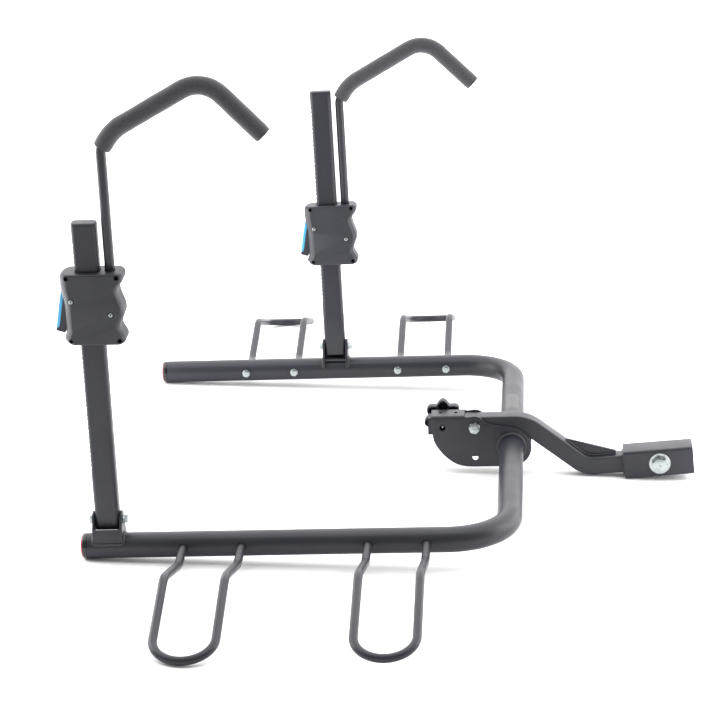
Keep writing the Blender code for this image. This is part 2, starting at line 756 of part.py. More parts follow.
def arc_slot(centre, radius, half_width, start, end, y0, y1):
    outline = arc_points(centre, radius + half_width, start, end, 10)
    tip = (centre[0] + radius * math.cos(math.radians(end)),
           centre[1] + radius * math.sin(math.radians(end)))
    outline += arc_points(tip, half_width, end, end + 180.0, 6)[1:-1]
    outline += arc_points(centre, radius - half_width, end, start, 10)
    tail = (centre[0] + radius * math.cos(math.radians(start)),
            centre[1] + radius * math.sin(math.radians(start)))
    outline += arc_points(tail, half_width, start + 180.0, start + 360.0, 6)[1:-1]
    return plate_xz(outline, y0, y1)


def build_pivot_channel(parent):
    near = plate_xz(channel_outline(-50.0), -PLATE_OUT, -PLATE_IN)
    far = plate_xz(channel_outline(FAR_PLATE_FOOT), PLATE_IN, PLATE_OUT)
    bridge = box(-142.0, -82.5, -PLATE_IN - 1.0, PLATE_IN + 1.0, 55.0, 59.0)
    body = fused([near, far, bridge])
    collars = [lathe(((27.0, 0.0), (22.8, 5.0)), (0, side * (PLATE_OUT - 1.0), 0), (0, side, 0))
               for side in (-1, 1)]
    body = boolean(body, collars[0], "UNION")
    body = boolean(body, collars[1], "UNION")
    tube = cylinder(TUBE_OD / 2 + GAP, (0, -60, 0), (0, 60, 0), 24)
    pivot = cylinder(6.3, (PIVOT[0], -60, PIVOT[1]), (PIVOT[0], 60, PIVOT[1]), 16)
    body = cut(body, [tube, pivot])
    stops = [cylinder(5.4, (x, -60, z), (x, -10, z), 14)
             for x, z in ((PIVOT[0] - LOCK_R, PIVOT[1]), (PIVOT[0], PIVOT[1] - LOCK_R))]
    slot = arc_slot(PIVOT, LOCK_R, 5.6, 180.0, 270.0, 10.0, 60.0)
    lights = [cylinder(3.5, (x, 0, 50.0), (x, 0, 70.0), 12) for x in (-126.0, -98.0)]
    body = cut(body, stops + [slot] + lights)
    make_object("pivot_channel", body, "black_coat", parent)


# ---------------------------------------------------------------- shank, sleeve and hardware

def along_sleeve(distance, lift=0.0):
    cx, cz = SLEEVE_X, -39.5
    return (cx + distance * math.cos(SLEEVE_TILT) - lift * math.sin(SLEEVE_TILT),
            cz + distance * math.sin(SLEEVE_TILT) + lift * math.cos(SLEEVE_TILT))


def shank_corners():
    end = along_sleeve(SLEEVE_L - 3.0)
    return ((SHANK_START_X, 0, SHANK_Z), (SHANK_BEND_1[0], 0, SHANK_Z),
            (SHANK_BEND_2[0], 0, SHANK_BEND_2[1]), (end[0], 0, end[1]))


def build_shank():
    path = bend_path(shank_corners(), (60.0, 45.0), 5)
    outer = rounded_rect(SHANK, SHANK, 3.0, 2)
    inner = rounded_rect(SHANK - 2 * SHANK_WALL, SHANK - 2 * SHANK_WALL, 1.0, 1)
    bm = bmesh.new()
    ring_sets = [section_rings(bm, path, outer, (0, 1, 0)),
                 section_rings(bm, path, inner, (0, 1, 0))]
    for rings in ring_sets:
        for first, second in zip(rings, rings[1:]):
            bridge_rings(bm, first, second)
    fill_annulus(bm, ring_sets[0][0], ring_sets[1][0])
    fill_annulus(bm, ring_sets[0][-1], ring_sets[1][-1])
    hitch = along_sleeve(HITCH_BOLT_AT)
    bores = [cylinder(6.3, (PIVOT[0], -30, PIVOT[1]), (PIVOT[0], 30, PIVOT[1]), 16),
             cylinder(5.4, (PIVOT[0] - LOCK_R, -30, PIVOT[1]),
                      (PIVOT[0] - LOCK_R, 30, PIVOT[1]), 14),
             cylinder(HITCH_BOLT_D / 2 + GAP, (hitch[0], -30, hitch[1]),
                      (hitch[0], 30, hitch[1]), 16)]
    return cut(bm, bores)


def build_gusset(parent):
    """Web plate that follows the hollow side of the lower shank bend."""
    path = bend_path(shank_corners(), (60.0, 45.0), 5)
    lift = SHANK / 2 + GAP
    lower = []
    for i in range(7, len(path) - 1):
        back = (path[i] - path[i - 1]).normalized()
        ahead = (path[i + 1] - path[i]).normalized()
        tangent = (back + ahead).normalized()
        up = Vector((-tangent.z, 0, tangent.x))
        lower.append(path[i] + up * lift / tangent.dot(ahead))
    slope = (Vector((SHANK_BEND_2[0], 0, SHANK_BEND_2[1]))
             - Vector((SHANK_BEND_1[0], 0, SHANK_Z))).normalized()
    start = lower[0] - slope * 40.0
    level = (path[-1] - path[-2]).normalized()
    finish = lower[-1] + level * 38.0
    outline = [(start.x, start.z)] + [(p.x, p.z) for p in lower] + [(finish.x, finish.z)]
    outline += [(finish.x, finish.z + 6.5), (start.x + 2.5, start.z + 2.0)]
    make_object("shank_gusset", plate_xz(outline, -2.5, 2.5), "black_coat", parent)


def build_sleeve(parent):
    start = Vector((along_sleeve(0.0)[0], 0, along_sleeve(0.0)[1]))
    end = Vector((along_sleeve(SLEEVE_L)[0], 0, along_sleeve(SLEEVE_L)[1]))
    bm = bmesh.new()
    outer = section_rings(bm, [start, end], rounded_rect(SLEEVE, SLEEVE, 4.0, 3), (0, 1, 0))
    inner = section_rings(bm, [start, end],
                          rounded_rect(SHANK + 2 * GAP, SHANK + 2 * GAP, 2.5, 2), (0, 1, 0))
    for rings in (outer, inner):
        bridge_rings(bm, rings[0], rings[1])
    fill_annulus(bm, outer[0], inner[0])
    fill_annulus(bm, outer[1], inner[1])
    hitch = along_sleeve(HITCH_BOLT_AT)
    hole = cylinder(HITCH_BOLT_D / 2 + GAP, (hitch[0], -60, hitch[1]), (hitch[0], 60, hitch[1]),
                    16)
    make_object("adapter_sleeve", cut(bm, [hole]), "black_coat", parent)


def build_hitch_hardware(parent):
    x, z = along_sleeve(HITCH_BOLT_AT)
    face = SLEEVE / 2 + GAP
    washer = ring_body(((HITCH_BOLT_D / 2 + GAP, 0.0), (19.0, 0.0), (19.0, -2.6),
                        (HITCH_BOLT_D / 2 + GAP, -2.6)), (x, -face, z), (0, 1, 0), 24)
    make_object("hitch_washer", washer, "zinc", parent)
    seat = -face - 2.6 - GAP
    bolt = hex_bolt(24.0, 10.0, HITCH_BOLT_D, 80.0, (x, seat, z), (0, 1, 0))
    make_object("hitch_bolt", bolt, "zinc", parent)
    nut = hex_nut(24.0, 14.0, HITCH_BOLT_D + 2 * GAP, (x, face, z), (0, 1, 0))
    make_object("hitch_nut", nut, "zinc", parent)


def build_tilt_hardware(parent):
    seat = PLATE_OUT + GAP
    bolt = hex_bolt(18.0, 7.5, 12.0, 2 * seat + 12.5, (PIVOT[0], -seat, PIVOT[1]), (0, 1, 0))
    make_object("tilt_bolt", bolt, "zinc", parent)
    nut = hex_nut(18.0, 10.0, 12.6, (PIVOT[0], seat, PIVOT[1]), (0, 1, 0))
    make_object("tilt_nut", nut, "zinc", parent)


# ---------------------------------------------------------------- lock knob

def build_lock_knob(parent):
    """Star knob in its own frame: origin on the knob axis at the middle plane."""
    bm = bmesh.new()
    rings = []
    count = KNOB_LOBES * 6
    levels = ((KNOB_Y[0], 2.0), (KNOB_Y[0] + 2.0, 0.0), (KNOB_Y[1] - 3.5, 0.0), (KNOB_Y[1], 4.0))
    for y, inset in levels:
        ring = []
        for i in range(count):
            angle = 2 * math.pi * i / count
            wave = abs(math.cos(KNOB_LOBES * angle / 2)) ** 0.6
            radius = KNOB_R - 8.0 + 8.0 * wave - inset
            ring.append(bm.verts.new((radius * math.cos(angle), y, radius * math.sin(angle))))
        rings.append(ring)
    for first, second in zip(rings, rings[1:]):
        bridge_rings(bm, first, second)
    bm.faces.new(rings[0])
    bm.faces.new(rings[-1])
    recess = ring_body(((12.0, KNOB_Y[0] - 2.0), (24.0, KNOB_Y[0] - 2.0),
                        (24.0, KNOB_Y[0] + 12.0), (12.0, KNOB_Y[0] + 12.0)),
                       (0, 0, 0), (0, 1, 0), 18)
    bore = cylinder(5.3, (0, KNOB_Y[0] - 3.0, 0), (0, KNOB_Y[1] - 6.0, 0), 12)
    make_object("lock_knob", cut(bm, [recess, bore]), "black_plastic", parent)


def build_lock_stud(parent):
    stud = lathe(((4.0, -15.0), (5.0, -14.0), (5.0, KNOB_Y[1] - 6.5)), (0, 0, 0), (0, 1, 0), 12)
    make_object("lock_stud", stud, "zinc", parent)
    washer = ring_body(((5.3, PLATE_OUT + GAP), (12.0, PLATE_OUT + GAP),
                        (12.0, PLATE_OUT + GAP + 2.4), (5.3, PLATE_OUT + GAP + 2.4)),
                       (0, 0, 0), (0, 1, 0), 20)
    make_object("lock_washer", washer, "zinc", parent)


# ---------------------------------------------------------------- assembly

def floor_tilt():
    """Angle of the frame plane when arm ends and sleeve corner share the floor."""
    corner = along_sleeve(0.0, -SLEEVE / 2)
    arm_low = (ARM_END_X - PLUG_FLANGE + 0.8, -TUBE_OD / 2)
    return math.atan2(corner[1] - arm_low[1], corner[0] - arm_low[0])


def stand_on_floor(root):
    """Move the root so the whole rack sits centred over the origin with its lowest point at 0."""
    bpy.context.view_layer.update()
    low = Vector((1e9, 1e9, 1e9))
    high = Vector((-1e9, -1e9, -1e9))
    for obj in bpy.context.scene.objects:
        if obj.type != "MESH":
            continue
        for vert in obj.data.vertices:
            point = obj.matrix_world @ vert.co
            low = Vector(map(min, low, point))
            high = Vector(map(max, high, point))
    root.location -= Vector(((low.x + high.x) / 2, (low.y + high.y) / 2, low.z))


def build_clamp(mast, label, index):
    clamp = empty(label + "_clamp_slide", mast, (0, 0, CLAMP_FOOT[index]))
    build_shells(clamp, label)
    build_rivet(clamp, label + "_trigger_pin", TRIGGER_PIN)
    build_rivet(clamp, label + "_rod_pin", ROD_PIN)
    build_trigger_spring(clamp, label)
    build_hook(clamp, label, index)
    lever = empty(label + "_trigger_pivot", clamp, (TRIGGER_PIN[0], 0, TRIGGER_PIN[1]))
    build_trigger(lever, label)


def build_frame(frame, shift):
    """Everything that tilts with the frame; shift moves rack coordinates to the hinge."""
    body = empty("frame_body", frame, shift)
    build_frame_tube(body)
    build_pivot_channel(body)
    for index, (label, side) in enumerate((("front", -1), ("rear", 1))):
        build_end_plug(body, label, side)
        build_mast_bracket(body, label, MAST_X[index], side)
        build_mast_fasteners(body, label, MAST_X[index], side)
        for centre_x, place in zip(LOOP_X, ("_outer", "_inner")):
            build_wheel_loop(body, label + place, centre_x, side)
        mast = empty(label + "_mast_fold", body, (MAST_X[index], side * ARM_Y, MAST_PIVOT_Z),
                     (-side * MAST_LEAN, MAST_PLAY[index], 0.0))
        build_mast(mast, label)
        build_clamp(mast, label, index)


def build_drawbar(root):
    make_object("shank_tube", build_shank(), "black_coat", root)
    build_gusset(root)
    build_sleeve(root)
    build_hitch_hardware(root)
    build_tilt_hardware(root)
    knob = empty("lock_knob_turn", root, (PIVOT[0] - LOCK_R, 0, PIVOT[1]))
    build_lock_knob(knob)
    build_lock_stud(knob)


def build_rack():
    clear_scene()
    root = empty("rack_root", None, (0, 0, 0), (0.0, floor_tilt(), 0.0))
    build_drawbar(root)
    frame = empty("frame_tilt", root, (PIVOT[0], 0, PIVOT[1]))
    build_frame(frame, (-PIVOT[0], 0, -PIVOT[1]))
    stand_on_floor(root)


build_rack()
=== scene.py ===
import math

import bmesh
import bpy
from mathutils import Matrix, Vector, noise


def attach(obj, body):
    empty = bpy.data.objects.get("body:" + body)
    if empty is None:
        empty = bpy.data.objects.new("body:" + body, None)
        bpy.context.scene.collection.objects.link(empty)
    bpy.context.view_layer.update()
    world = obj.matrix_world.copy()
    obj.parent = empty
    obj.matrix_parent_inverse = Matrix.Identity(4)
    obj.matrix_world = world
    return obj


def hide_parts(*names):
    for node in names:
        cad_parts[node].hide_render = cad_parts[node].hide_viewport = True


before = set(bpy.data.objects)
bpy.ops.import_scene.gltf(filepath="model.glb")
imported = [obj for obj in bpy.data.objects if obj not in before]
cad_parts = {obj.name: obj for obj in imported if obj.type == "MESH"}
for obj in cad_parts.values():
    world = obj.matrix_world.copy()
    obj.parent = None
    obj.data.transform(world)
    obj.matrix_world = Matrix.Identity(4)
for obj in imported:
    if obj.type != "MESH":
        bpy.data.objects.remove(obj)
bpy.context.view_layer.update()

# Lengths are millimetres in rack coordinates: X toward the vehicle, Y across it, Z up,
# origin at the centre of the crossbar. RACK stands the rack on the floor in metres.
MM = 0.001
STAND_AT = (0.197498, 0.0, 0.054948)
STAND_TILT = -0.0490649
RACK = (Matrix.Translation(STAND_AT) @ Matrix.Rotation(STAND_TILT, 4, "Y")
        @ Matrix.Scale(MM, 4))

GAP = 0.3
TUBE_R = 21.0
TUBE_BORE = 18.0
SMALL_FLAT = 13.0
SMALL_SHANK_R = 4.0
ARM_Y = 457.0
ARM_END_X = -685.0
PLUG_FLANGE = 8.2
CORNER_R = 100.0
LOOP_X = (-480.0, -180.0)
LOOP_HALF = 47.5
LOOP_R = 6.95
LOOP_HOLE_R = 7.7
LOOP_LEVEL = 28.0
LOOP_RISE_START = 79.0
LOOP_DIP_Z = -5.0
LOOP_CREST = 220.0
LOOP_CREST_Z = 34.0
LOOP_STRAIGHT_END = 356.0
LOOP_SLOPE = math.radians(17.6)

MAST_X = {"front": -650.0, "rear": -350.0}
SIDE = {"front": -1, "rear": 1}
MAST_W = 40.0
MAST_D = 25.0
MAST_R = 7.5
MAST_WALL = 2.0
MAST_BORE_R = 4.6
MAST_CAP_H = 4.0
MAST_PIVOT_Z = 46.0
MAST_TOP = 506.0
MAST_FOOT = 14.5
MAST_LEAN = math.radians(3.0)
MAST_PLAY = {"front": math.radians(0.55), "rear": math.radians(-0.8)}
TOOTH_PITCH = 8.0
TOOTH_DEPTH = 1.7
TOOTH_FIRST = 33.0
TOOTH_COUNT = 48
EAR_INNER = 20.5
EAR_OUTER = 24.5
EAR_TOP_R = 14.0
WALL_INNER = 16.5
WALL_OUTER = 19.8
WALL_FOOT = 9.0
WALL_TOP = 35.0

CLAMP_FOOT = {"front": 309.5, "rear": 168.0}
HOUSING_H = 117.0
HOUSING_D = 50.0
GRIP_EDGE = ((8.0, 55.5), (28.0, 48.0), (53.0, 55.5), (88.0, 47.5), (108.0, 57.5))
BACK_EDGE = ((8.0, -43.5), (22.0, -39.5), (62.0, -39.5), (99.0, -44.0), (110.0, -44.0))
TRIGGER_PIN = (-26.0, 73.0)
ROD_PIN = (35.4, 50.5)
TRIGGER_HALF = 8.0
TRIGGER_BORE_R = 2.9
SCREW_HOLE_R = 3.7
MAST_CHANNEL = (41.0, 26.0, 7.0)
SINK_R = 4.6
SCREWS = ((-31.0, 111.0), (48.5, 111.0), (-31.0, 7.2), (46.5, 7.2))
ROD_X = 35.4
HOOK_ROD_R = 8.0
FOAM_R = 14.9
HOOK_KNEE_Z = {"front": 311.0, "rear": 317.5}
HOOK_SHOULDER = (20.0, 31.0)
HOOK_PEAK = {"front": (200.0, 422.0), "rear": (205.5, 428.5)}
HOOK_TIP = {"front": (288.0, 329.5), "rear": (293.5, 339.5)}
HOOK_RADII = (18.0, 80.0, 50.0)
INSERT_TOP = (-43.0, 90.0)
INSERT_FOOT = (-55.5, 26.0)
INSERT_T = 5.0

PIVOT = (-65.0, 37.0)
LOCK_R = 57.0
PLATE_IN = 16.5
PLATE_OUT = 20.5
PLATE_FOOT = -50.0
SADDLE_R = TUBE_R + GAP
TILT_BOLT_R = 6.0
LOCK_HOLE_R = 5.4
LOCK_SLOT_HALF = 5.6
FAR_PLATE_FOOT = -31.0
SHANK = 31.75
SHANK_WALL = 3.0
SHANK_Z = 38.5
SHANK_START_X = -148.0
SHANK_BEND_1 = (25.8, 38.5)
SHANK_BEND_2 = (131.0, -43.8)
SLEEVE_TILT = math.radians(3.6)
SLEEVE_X = 199.0
SLEEVE_Z = -39.5
SLEEVE_L = 123.0
SLEEVE = 50.8
HITCH_BOLT_R = 8.0
HITCH_AT = 63.0
KNOB_R = 35.3
KNOB_LOBES = 7


# ---------------------------------------------------------------- materials

class Shader:
    """Node tree of one material, with helpers for object-space patterns."""

    def __init__(self, name, colour, roughness, metallic=0.0, **sockets):
        self.mat = bpy.data.materials.new(name)
        self.mat.use_nodes = True
        self.tree = self.mat.node_tree
        self.bsdf = self.tree.nodes["Principled BSDF"]
        self.coords = self.tree.nodes.new("ShaderNodeTexCoord")
        self.set("Base Color", (*colour, 1.0))
        self.set("Roughness", roughness)
        self.set("Metallic", metallic)
        for key, value in sockets.items():
            self.set(key.replace("_", " "), value)
        self.height = None

    def set(self, socket, value):
        self.bsdf.inputs[socket].default_value = value

    def link(self, out, into):
        self.tree.links.new(out, into)

    def noise(self, scale, detail=3.0, rough=0.5, stretch=None):
        node = self.tree.nodes.new("ShaderNodeTexNoise")
        node.inputs["Scale"].default_value = scale
        node.inputs["Detail"].default_value = detail
        node.inputs["Roughness"].default_value = rough
        source = self.coords.outputs["Object"]
        if stretch:
            mapping = self.tree.nodes.new("ShaderNodeMapping")
            mapping.inputs["Scale"].default_value = stretch
            self.link(source, mapping.inputs["Vector"])
            source = mapping.outputs["Vector"]
        self.link(source, node.inputs["Vector"])
        return node.outputs["Fac"]

    def cells(self, scale):
        node = self.tree.nodes.new("ShaderNodeTexVoronoi")
        node.inputs["Scale"].default_value = scale
        self.link(self.coords.outputs["Object"], node.inputs["Vector"])
        return node.outputs["Distance"]

    def tint(self, fac, dark, light, low=0.35, high=0.65):
        ramp = self.tree.nodes.new("ShaderNodeValToRGB")
        ramp.color_ramp.elements[0].position = low
        ramp.color_ramp.elements[0].color = (*dark, 1.0)
        ramp.color_ramp.elements[1].position = high
        ramp.color_ramp.elements[1].color = (*light, 1.0)
        self.link(fac, ramp.inputs["Fac"])
        self.link(ramp.outputs["Color"], self.bsdf.inputs["Base Color"])

    def vary(self, fac, low, high, socket="Roughness"):
        node = self.tree.nodes.new("ShaderNodeMapRange")
        node.inputs["From Min"].default_value = 0.3
        node.inputs["From Max"].default_value = 0.7
        node.inputs["To Min"].default_value = low
        node.inputs["To Max"].default_value = high
        self.link(fac, node.inputs["Value"])
        self.link(node.outputs["Result"], self.bsdf.inputs[socket])

    def bump(self, fac, strength, distance):
        node = self.tree.nodes.new("ShaderNodeBump")
        node.inputs["Strength"].default_value = strength
        node.inputs["Distance"].default_value = distance
        self.link(fac, node.inputs["Height"])
        if self.height:
            self.link(self.height, node.inputs["Normal"])
        self.height = node.outputs["Normal"]
        self.link(self.height, self.bsdf.inputs["Normal"])


def make_materials():
    coat = Shader("black_powder_coat", (0.020, 0.0205, 0.028), 0.4, Specular_IOR_Level=0.35)
    coat.tint(coat.noise(9.0), (0.018, 0.0185, 0.026), (0.023, 0.0235, 0.031))
    coat.vary(coat.noise(30.0), 0.34, 0.42)
    coat.bump(coat.noise(620.0, 2.0), 0.10, 0.0004)
    weld = Shader("weld_bead_coat", (0.024, 0.0245, 0.028), 0.36)
    weld.tint(weld.noise(60.0), (0.017, 0.0175, 0.024), (0.027, 0.0275, 0.035))
    weld.bump(weld.noise(420.0, 3.0), 0.35, 0.0008)
    zinc = Shader("zinc_plate", (0.34, 0.37, 0.385), 0.28, 1.0)
    zinc.tint(zinc.noise(140.0), (0.30, 0.335, 0.35), (0.39, 0.415, 0.42))
    zinc.vary(zinc.noise(260.0), 0.24, 0.36)
    zinc.bump(zinc.noise(900.0, 2.0), 0.06, 0.0002)
    plastic = Shader("black_moulded_plastic", (0.024, 0.0248, 0.033), 0.46,
                     Specular_IOR_Level=0.4)
    plastic.tint(plastic.noise(14.0), (0.022, 0.0228, 0.031), (0.027, 0.0278, 0.036))
    plastic.vary(plastic.noise(90.0), 0.42, 0.50)
    plastic.bump(plastic.noise(1500.0, 2.0), 0.12, 0.00025)
    gloss = Shader("black_glossy_plastic", (0.010, 0.010, 0.012), 0.22)
    gloss.tint(gloss.noise(14.0), (0.008, 0.008, 0.010), (0.013, 0.013, 0.016))
    gloss.vary(gloss.noise(90.0), 0.18, 0.26)
    foam = Shader("black_foam", (0.033, 0.033, 0.036), 0.82, Sheen_Weight=0.35,
                  Sheen_Roughness=0.55)
    foam.tint(foam.noise(320.0, 4.0, 0.7), (0.020, 0.019, 0.025), (0.038, 0.037, 0.044))
    foam.bump(foam.cells(900.0), 0.35, 0.0006)
    foam.bump(foam.noise(260.0, 5.0, 0.7), 0.45, 0.0010)
    blue = Shader("blue_moulded_plastic", (0.075, 0.43, 0.76), 0.38)
    blue.tint(blue.noise(40.0), (0.07, 0.41, 0.74), (0.085, 0.45, 0.79))
    blue.bump(blue.noise(1400.0, 2.0), 0.08, 0.0002)
    red = Shader("red_reflector_lens", (0.62, 0.012, 0.03), 0.12, Coat_Weight=0.8)
    red.tint(red.cells(380.0), (0.80, 0.03, 0.06), (0.42, 0.006, 0.018), 0.1, 0.6)
    red.bump(red.cells(380.0), 0.25, 0.0006)
    steel = Shader("spring_steel", (0.46, 0.47, 0.49), 0.3, 1.0)
    steel.tint(steel.noise(200.0), (0.38, 0.39, 0.41), (0.52, 0.53, 0.55))
    # Near-black for the housing screw heads, and painted shade in the screw holes, around and
    # inside the rivets and in the lock knob's hole.
    dark = Shader("near_black_screws_and_painted_shade", (0.003, 0.003, 0.003), 0.6, Specular_IOR_Level=0.2)
    dark.tint(dark.noise(300.0), (0.002, 0.002, 0.002), (0.005, 0.005, 0.005))
    label = Shader("blank_label", (0.045, 0.044, 0.046), 0.4)
    label.tint(label.noise(120.0), (0.042, 0.041, 0.043), (0.052, 0.050, 0.050))
    label.bump(label.noise(500.0), 0.05, 0.0002)
    floor = Shader("pale_floor", (0.9, 0.9, 0.9), 0.9)
    floor.tint(floor.noise(3.0), (0.94, 0.94, 0.94), (0.95, 0.95, 0.95))
    return {"coat": coat.mat, "weld": weld.mat, "zinc": zinc.mat, "plastic": plastic.mat,
            "foam": foam.mat, "blue": blue.mat, "red": red.mat, "steel": steel.mat,
            "dark": dark.mat, "gloss": gloss.mat, "label": label.mat, "floor": floor.mat}


MATERIALS = make_materials()


# ---------------------------------------------------------------- object helpers

def piece(name, bm, look, body, matrix=RACK, angle=32.0, stands_for=()):
    """Turn a millimetre bmesh into a shown piece that rides on a CAD body."""
    bmesh.ops.recalc_face_normals(bm, faces=bm.faces)
    mesh = bpy.data.meshes.new(name)
    bm.to_mesh(mesh)
    bm.free()
    mesh.transform(matrix)
    mesh.materials.append(MATERIALS[look])
    mesh.shade_smooth()
    mesh.set_sharp_from_angle(angle=math.radians(angle))
    obj = bpy.data.objects.new(name, mesh)
    bpy.context.scene.collection.objects.link(obj)
    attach(obj, body)
    if stands_for:
        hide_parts(*stands_for)
    return obj


def circle(radius, count=48, phase=0.0):
    return [(radius * math.cos(2 * math.pi * i / count + phase),
             radius * math.sin(2 * math.pi * i / count + phase)) for i in range(count)]


def rounded_rect(width, height, radius, steps=8):
    points = []
    for corner in range(4):
        cx = (width / 2 - radius) * (1 if corner in (0, 3) else -1)
        cy = (height / 2 - radius) * (1 if corner in (0, 1) else -1)
        for i in range(steps + 1):
            a = (corner + i / steps) * math.pi / 2
            points.append((cx + radius * math.cos(a), cy + radius * math.sin(a)))
    return points


def bend_path(corners, radii, steps=16):
    """Round the inner corners of a polyline with arcs."""
    points = [Vector(corners[0])]
    for i in range(1, len(corners) - 1):
        here = Vector(corners[i])
        back = (Vector(corners[i - 1]) - here).normalized()
        ahead = (Vector(corners[i + 1]) - here).normalized()
        half = back.angle(ahead) / 2
        reach = radii[i - 1] / math.tan(half)
        centre = here + (back + ahead).normalized() * radii[i - 1] / math.sin(half)
        first = here + back * reach - centre
        last = here + ahead * reach - centre
        turn = first.angle(last)
        for k in range(steps + 1):
            t = k / steps
            points.append(centre + (first * math.sin((1 - t) * turn)
                                    + last * math.sin(t * turn)) / math.sin(turn))
    points.append(Vector(corners[-1]))
    return points


def arc_run(centre, radius, start, end, steps):
    return [(centre[0] + radius * math.cos(math.radians(start + (end - start) * i / steps)),
             centre[1] + radius * math.sin(math.radians(start + (end - start) * i / steps)))
            for i in range(steps + 1)]


def resampled(path, spacing):
    """Extra points on long straight runs, so a section can vary along them."""
    points = [path[0]]
    for a, b in zip(path, path[1:]):
        count = max(1, round((b - a).length / spacing))
        points += [a.lerp(b, k / count) for k in range(1, count + 1)]
    return points


def path_frames(path, normal):
    normal = Vector(normal).normalized()
    frames = []
    for i, point in enumerate(path):
        back = (point - path[i - 1]).normalized() if i else None
        ahead = (path[i + 1] - point).normalized() if i < len(path) - 1 else None
        tangent = ((back or ahead) + (ahead or back)).normalized()
        side = normal.cross(tangent).normalized()
        frames.append((point, side, tangent.cross(side).normalized()))
    return frames


def ring_strip(bm, rings, closed=False):
    pairs = list(zip(rings, rings[1:]))
    if closed:
        pairs.append((rings[-1], rings[0]))
    for first, second in pairs:
        count = len(first)
        for i in range(count):
            j = (i + 1) % count
            bm.faces.new((first[i], first[j], second[j], second[i]))


def sweep(path, section, normal, inner=None, scales=None):
    """Sweep a closed section along a planar path, solid or hollow."""
    bm = bmesh.new()
    frames = path_frames(path, normal)

    def rings_of(outline):
        rings = []
        for k, (point, side, up) in enumerate(frames):
            s = scales[k] if scales else 1.0
            rings.append([bm.verts.new(point + side * u * s + up * v * s)
                          for u, v in outline])
        return rings

    outer = rings_of(section)
    ring_strip(bm, outer)
    if inner:
        hollow = rings_of(inner)
        ring_strip(bm, hollow)
        ring_strip(bm, [outer[0], hollow[0]])
        ring_strip(bm, [outer[-1], hollow[-1]])
    else:
        bm.faces.new(outer[0])
        bm.faces.new(outer[-1])
    return bm


def eased_rod(path, section, normal, ease):
    """Solid rod whose two ends are rounded over by ease millimetres."""
    scales = [1.0] * len(path)
    radius = max(u for u, _ in section)
    head = [path[0].lerp(path[1], ease * k / (path[1] - path[0]).length)
            for k in (0.0, 0.3, 1.0)]
    tail = [path[-1].lerp(path[-2], ease * k / (path[-2] - path[-1]).length)
            for k in (1.0, 0.3, 0.0)]
    small = [1.0 - ease / radius, 1.0 - 0.3 * ease / radius, 1.0]
    full = head + path[1:-1] + tail
    return sweep(full, section, normal, scales=small + scales[1:-1] + small[::-1])


def lathe(profile, origin, axis, count=48, closed=False):
    """Body of revolution from (radius, along) pairs; a closed profile makes a ring."""
    bm = bmesh.new()
    axis = Vector(axis).normalized()
    side = axis.orthogonal().normalized()
    other = axis.cross(side)
    rings = [[bm.verts.new(Vector(origin) + axis * along + side * u + other * v)
              for u, v in circle(max(radius, 0.02), count)] for radius, along in profile]
    ring_strip(bm, rings, closed)
    if not closed:
        bm.faces.new(rings[0])
        bm.faces.new(rings[-1])
    return bm


def prism(outline, plane, a0, a1, ease=0.0):
    """Extrude a 2-D outline; plane 'xz' extrudes along Y and 'yz' along X."""
    bm = bmesh.new()
    if plane == "xz":
        first = [bm.verts.new((u, a0, v)) for u, v in outline]
        second = [bm.verts.new((u, a1, v)) for u, v in outline]
    else:
        first = [bm.verts.new((a0, u, v)) for u, v in outline]
        second = [bm.verts.new((a1, u, v)) for u, v in outline]
    ring_strip(bm, [first, second])
    bm.faces.new(first)
    bm.faces.new(second)
    bmesh.ops.recalc_face_normals(bm, faces=bm.faces)
    if ease:
        rim = [e for e in bm.edges if e.calc_face_angle(0.0) > math.radians(35)]
        bmesh.ops.bevel(bm, geom=rim, offset=ease, segments=3, profile=0.5,
                        affect="EDGES", clamp_overlap=True)
    return bm


def block(x0, x1, y0, y1, z0, z1, ease=0.0):
    return prism(((x0, z0), (x1, z0), (x1, z1), (x0, z1)), "xz", y0, y1, ease)


def rod(radius, start, end, count=32):
    start, end = Vector(start), Vector(end)
    return lathe(((radius, 0.0), (radius, (end - start).length)), start, end - start, count)


def joined(parts):
    target = bmesh.new()
    for part in parts:
        bmesh.ops.recalc_face_normals(part, faces=part.faces)
        mesh = bpy.data.meshes.new("scratch")
        part.to_mesh(mesh)
        part.free()
        target.from_mesh(mesh)
        bpy.data.meshes.remove(mesh)
    return target


def carve(base, tools, operation="DIFFERENCE"):
    """Exact boolean of two millimetre bmeshes."""
    objects = []
    for bm in (base, joined(tools)):
        bmesh.ops.recalc_face_normals(bm, faces=bm.faces)
        mesh = bpy.data.meshes.new("scratch")
        bm.to_mesh(mesh)
        bm.free()
        obj = bpy.data.objects.new("scratch", mesh)
        bpy.context.scene.collection.objects.link(obj)
        objects.append(obj)
    modifier = objects[0].modifiers.new("cut", "BOOLEAN")
    modifier.operation = operation
    modifier.solver = "EXACT"
    modifier.object = objects[1]
    result = bmesh.new()
    result.from_object(objects[0], bpy.context.evaluated_depsgraph_get())
    for obj in objects:
        mesh = obj.data
        bpy.data.objects.remove(obj, do_unlink=True)
        bpy.data.meshes.remove(mesh)
    return result


def hex_prism(flat, low, high, origin, axis, ease=0.9):
    """Hexagonal body along axis with both rims chamfered by a cone."""
    body = lathe(((flat / 2 / math.cos(math.pi / 6), low),
                  (flat / 2 / math.cos(math.pi / 6), high)), origin, axis, 6)
    reach = flat / 2 / math.cos(math.pi / 6) + 0.2
    cone = lathe(((flat / 2 - ease * 0.3, low - 0.01), (reach, low + ease),
                  (reach, high - ease), (flat / 2 - ease * 0.3, high + 0.01)),
                 origin, axis, 48)
    return carve(body, [cone], "INTERSECT")


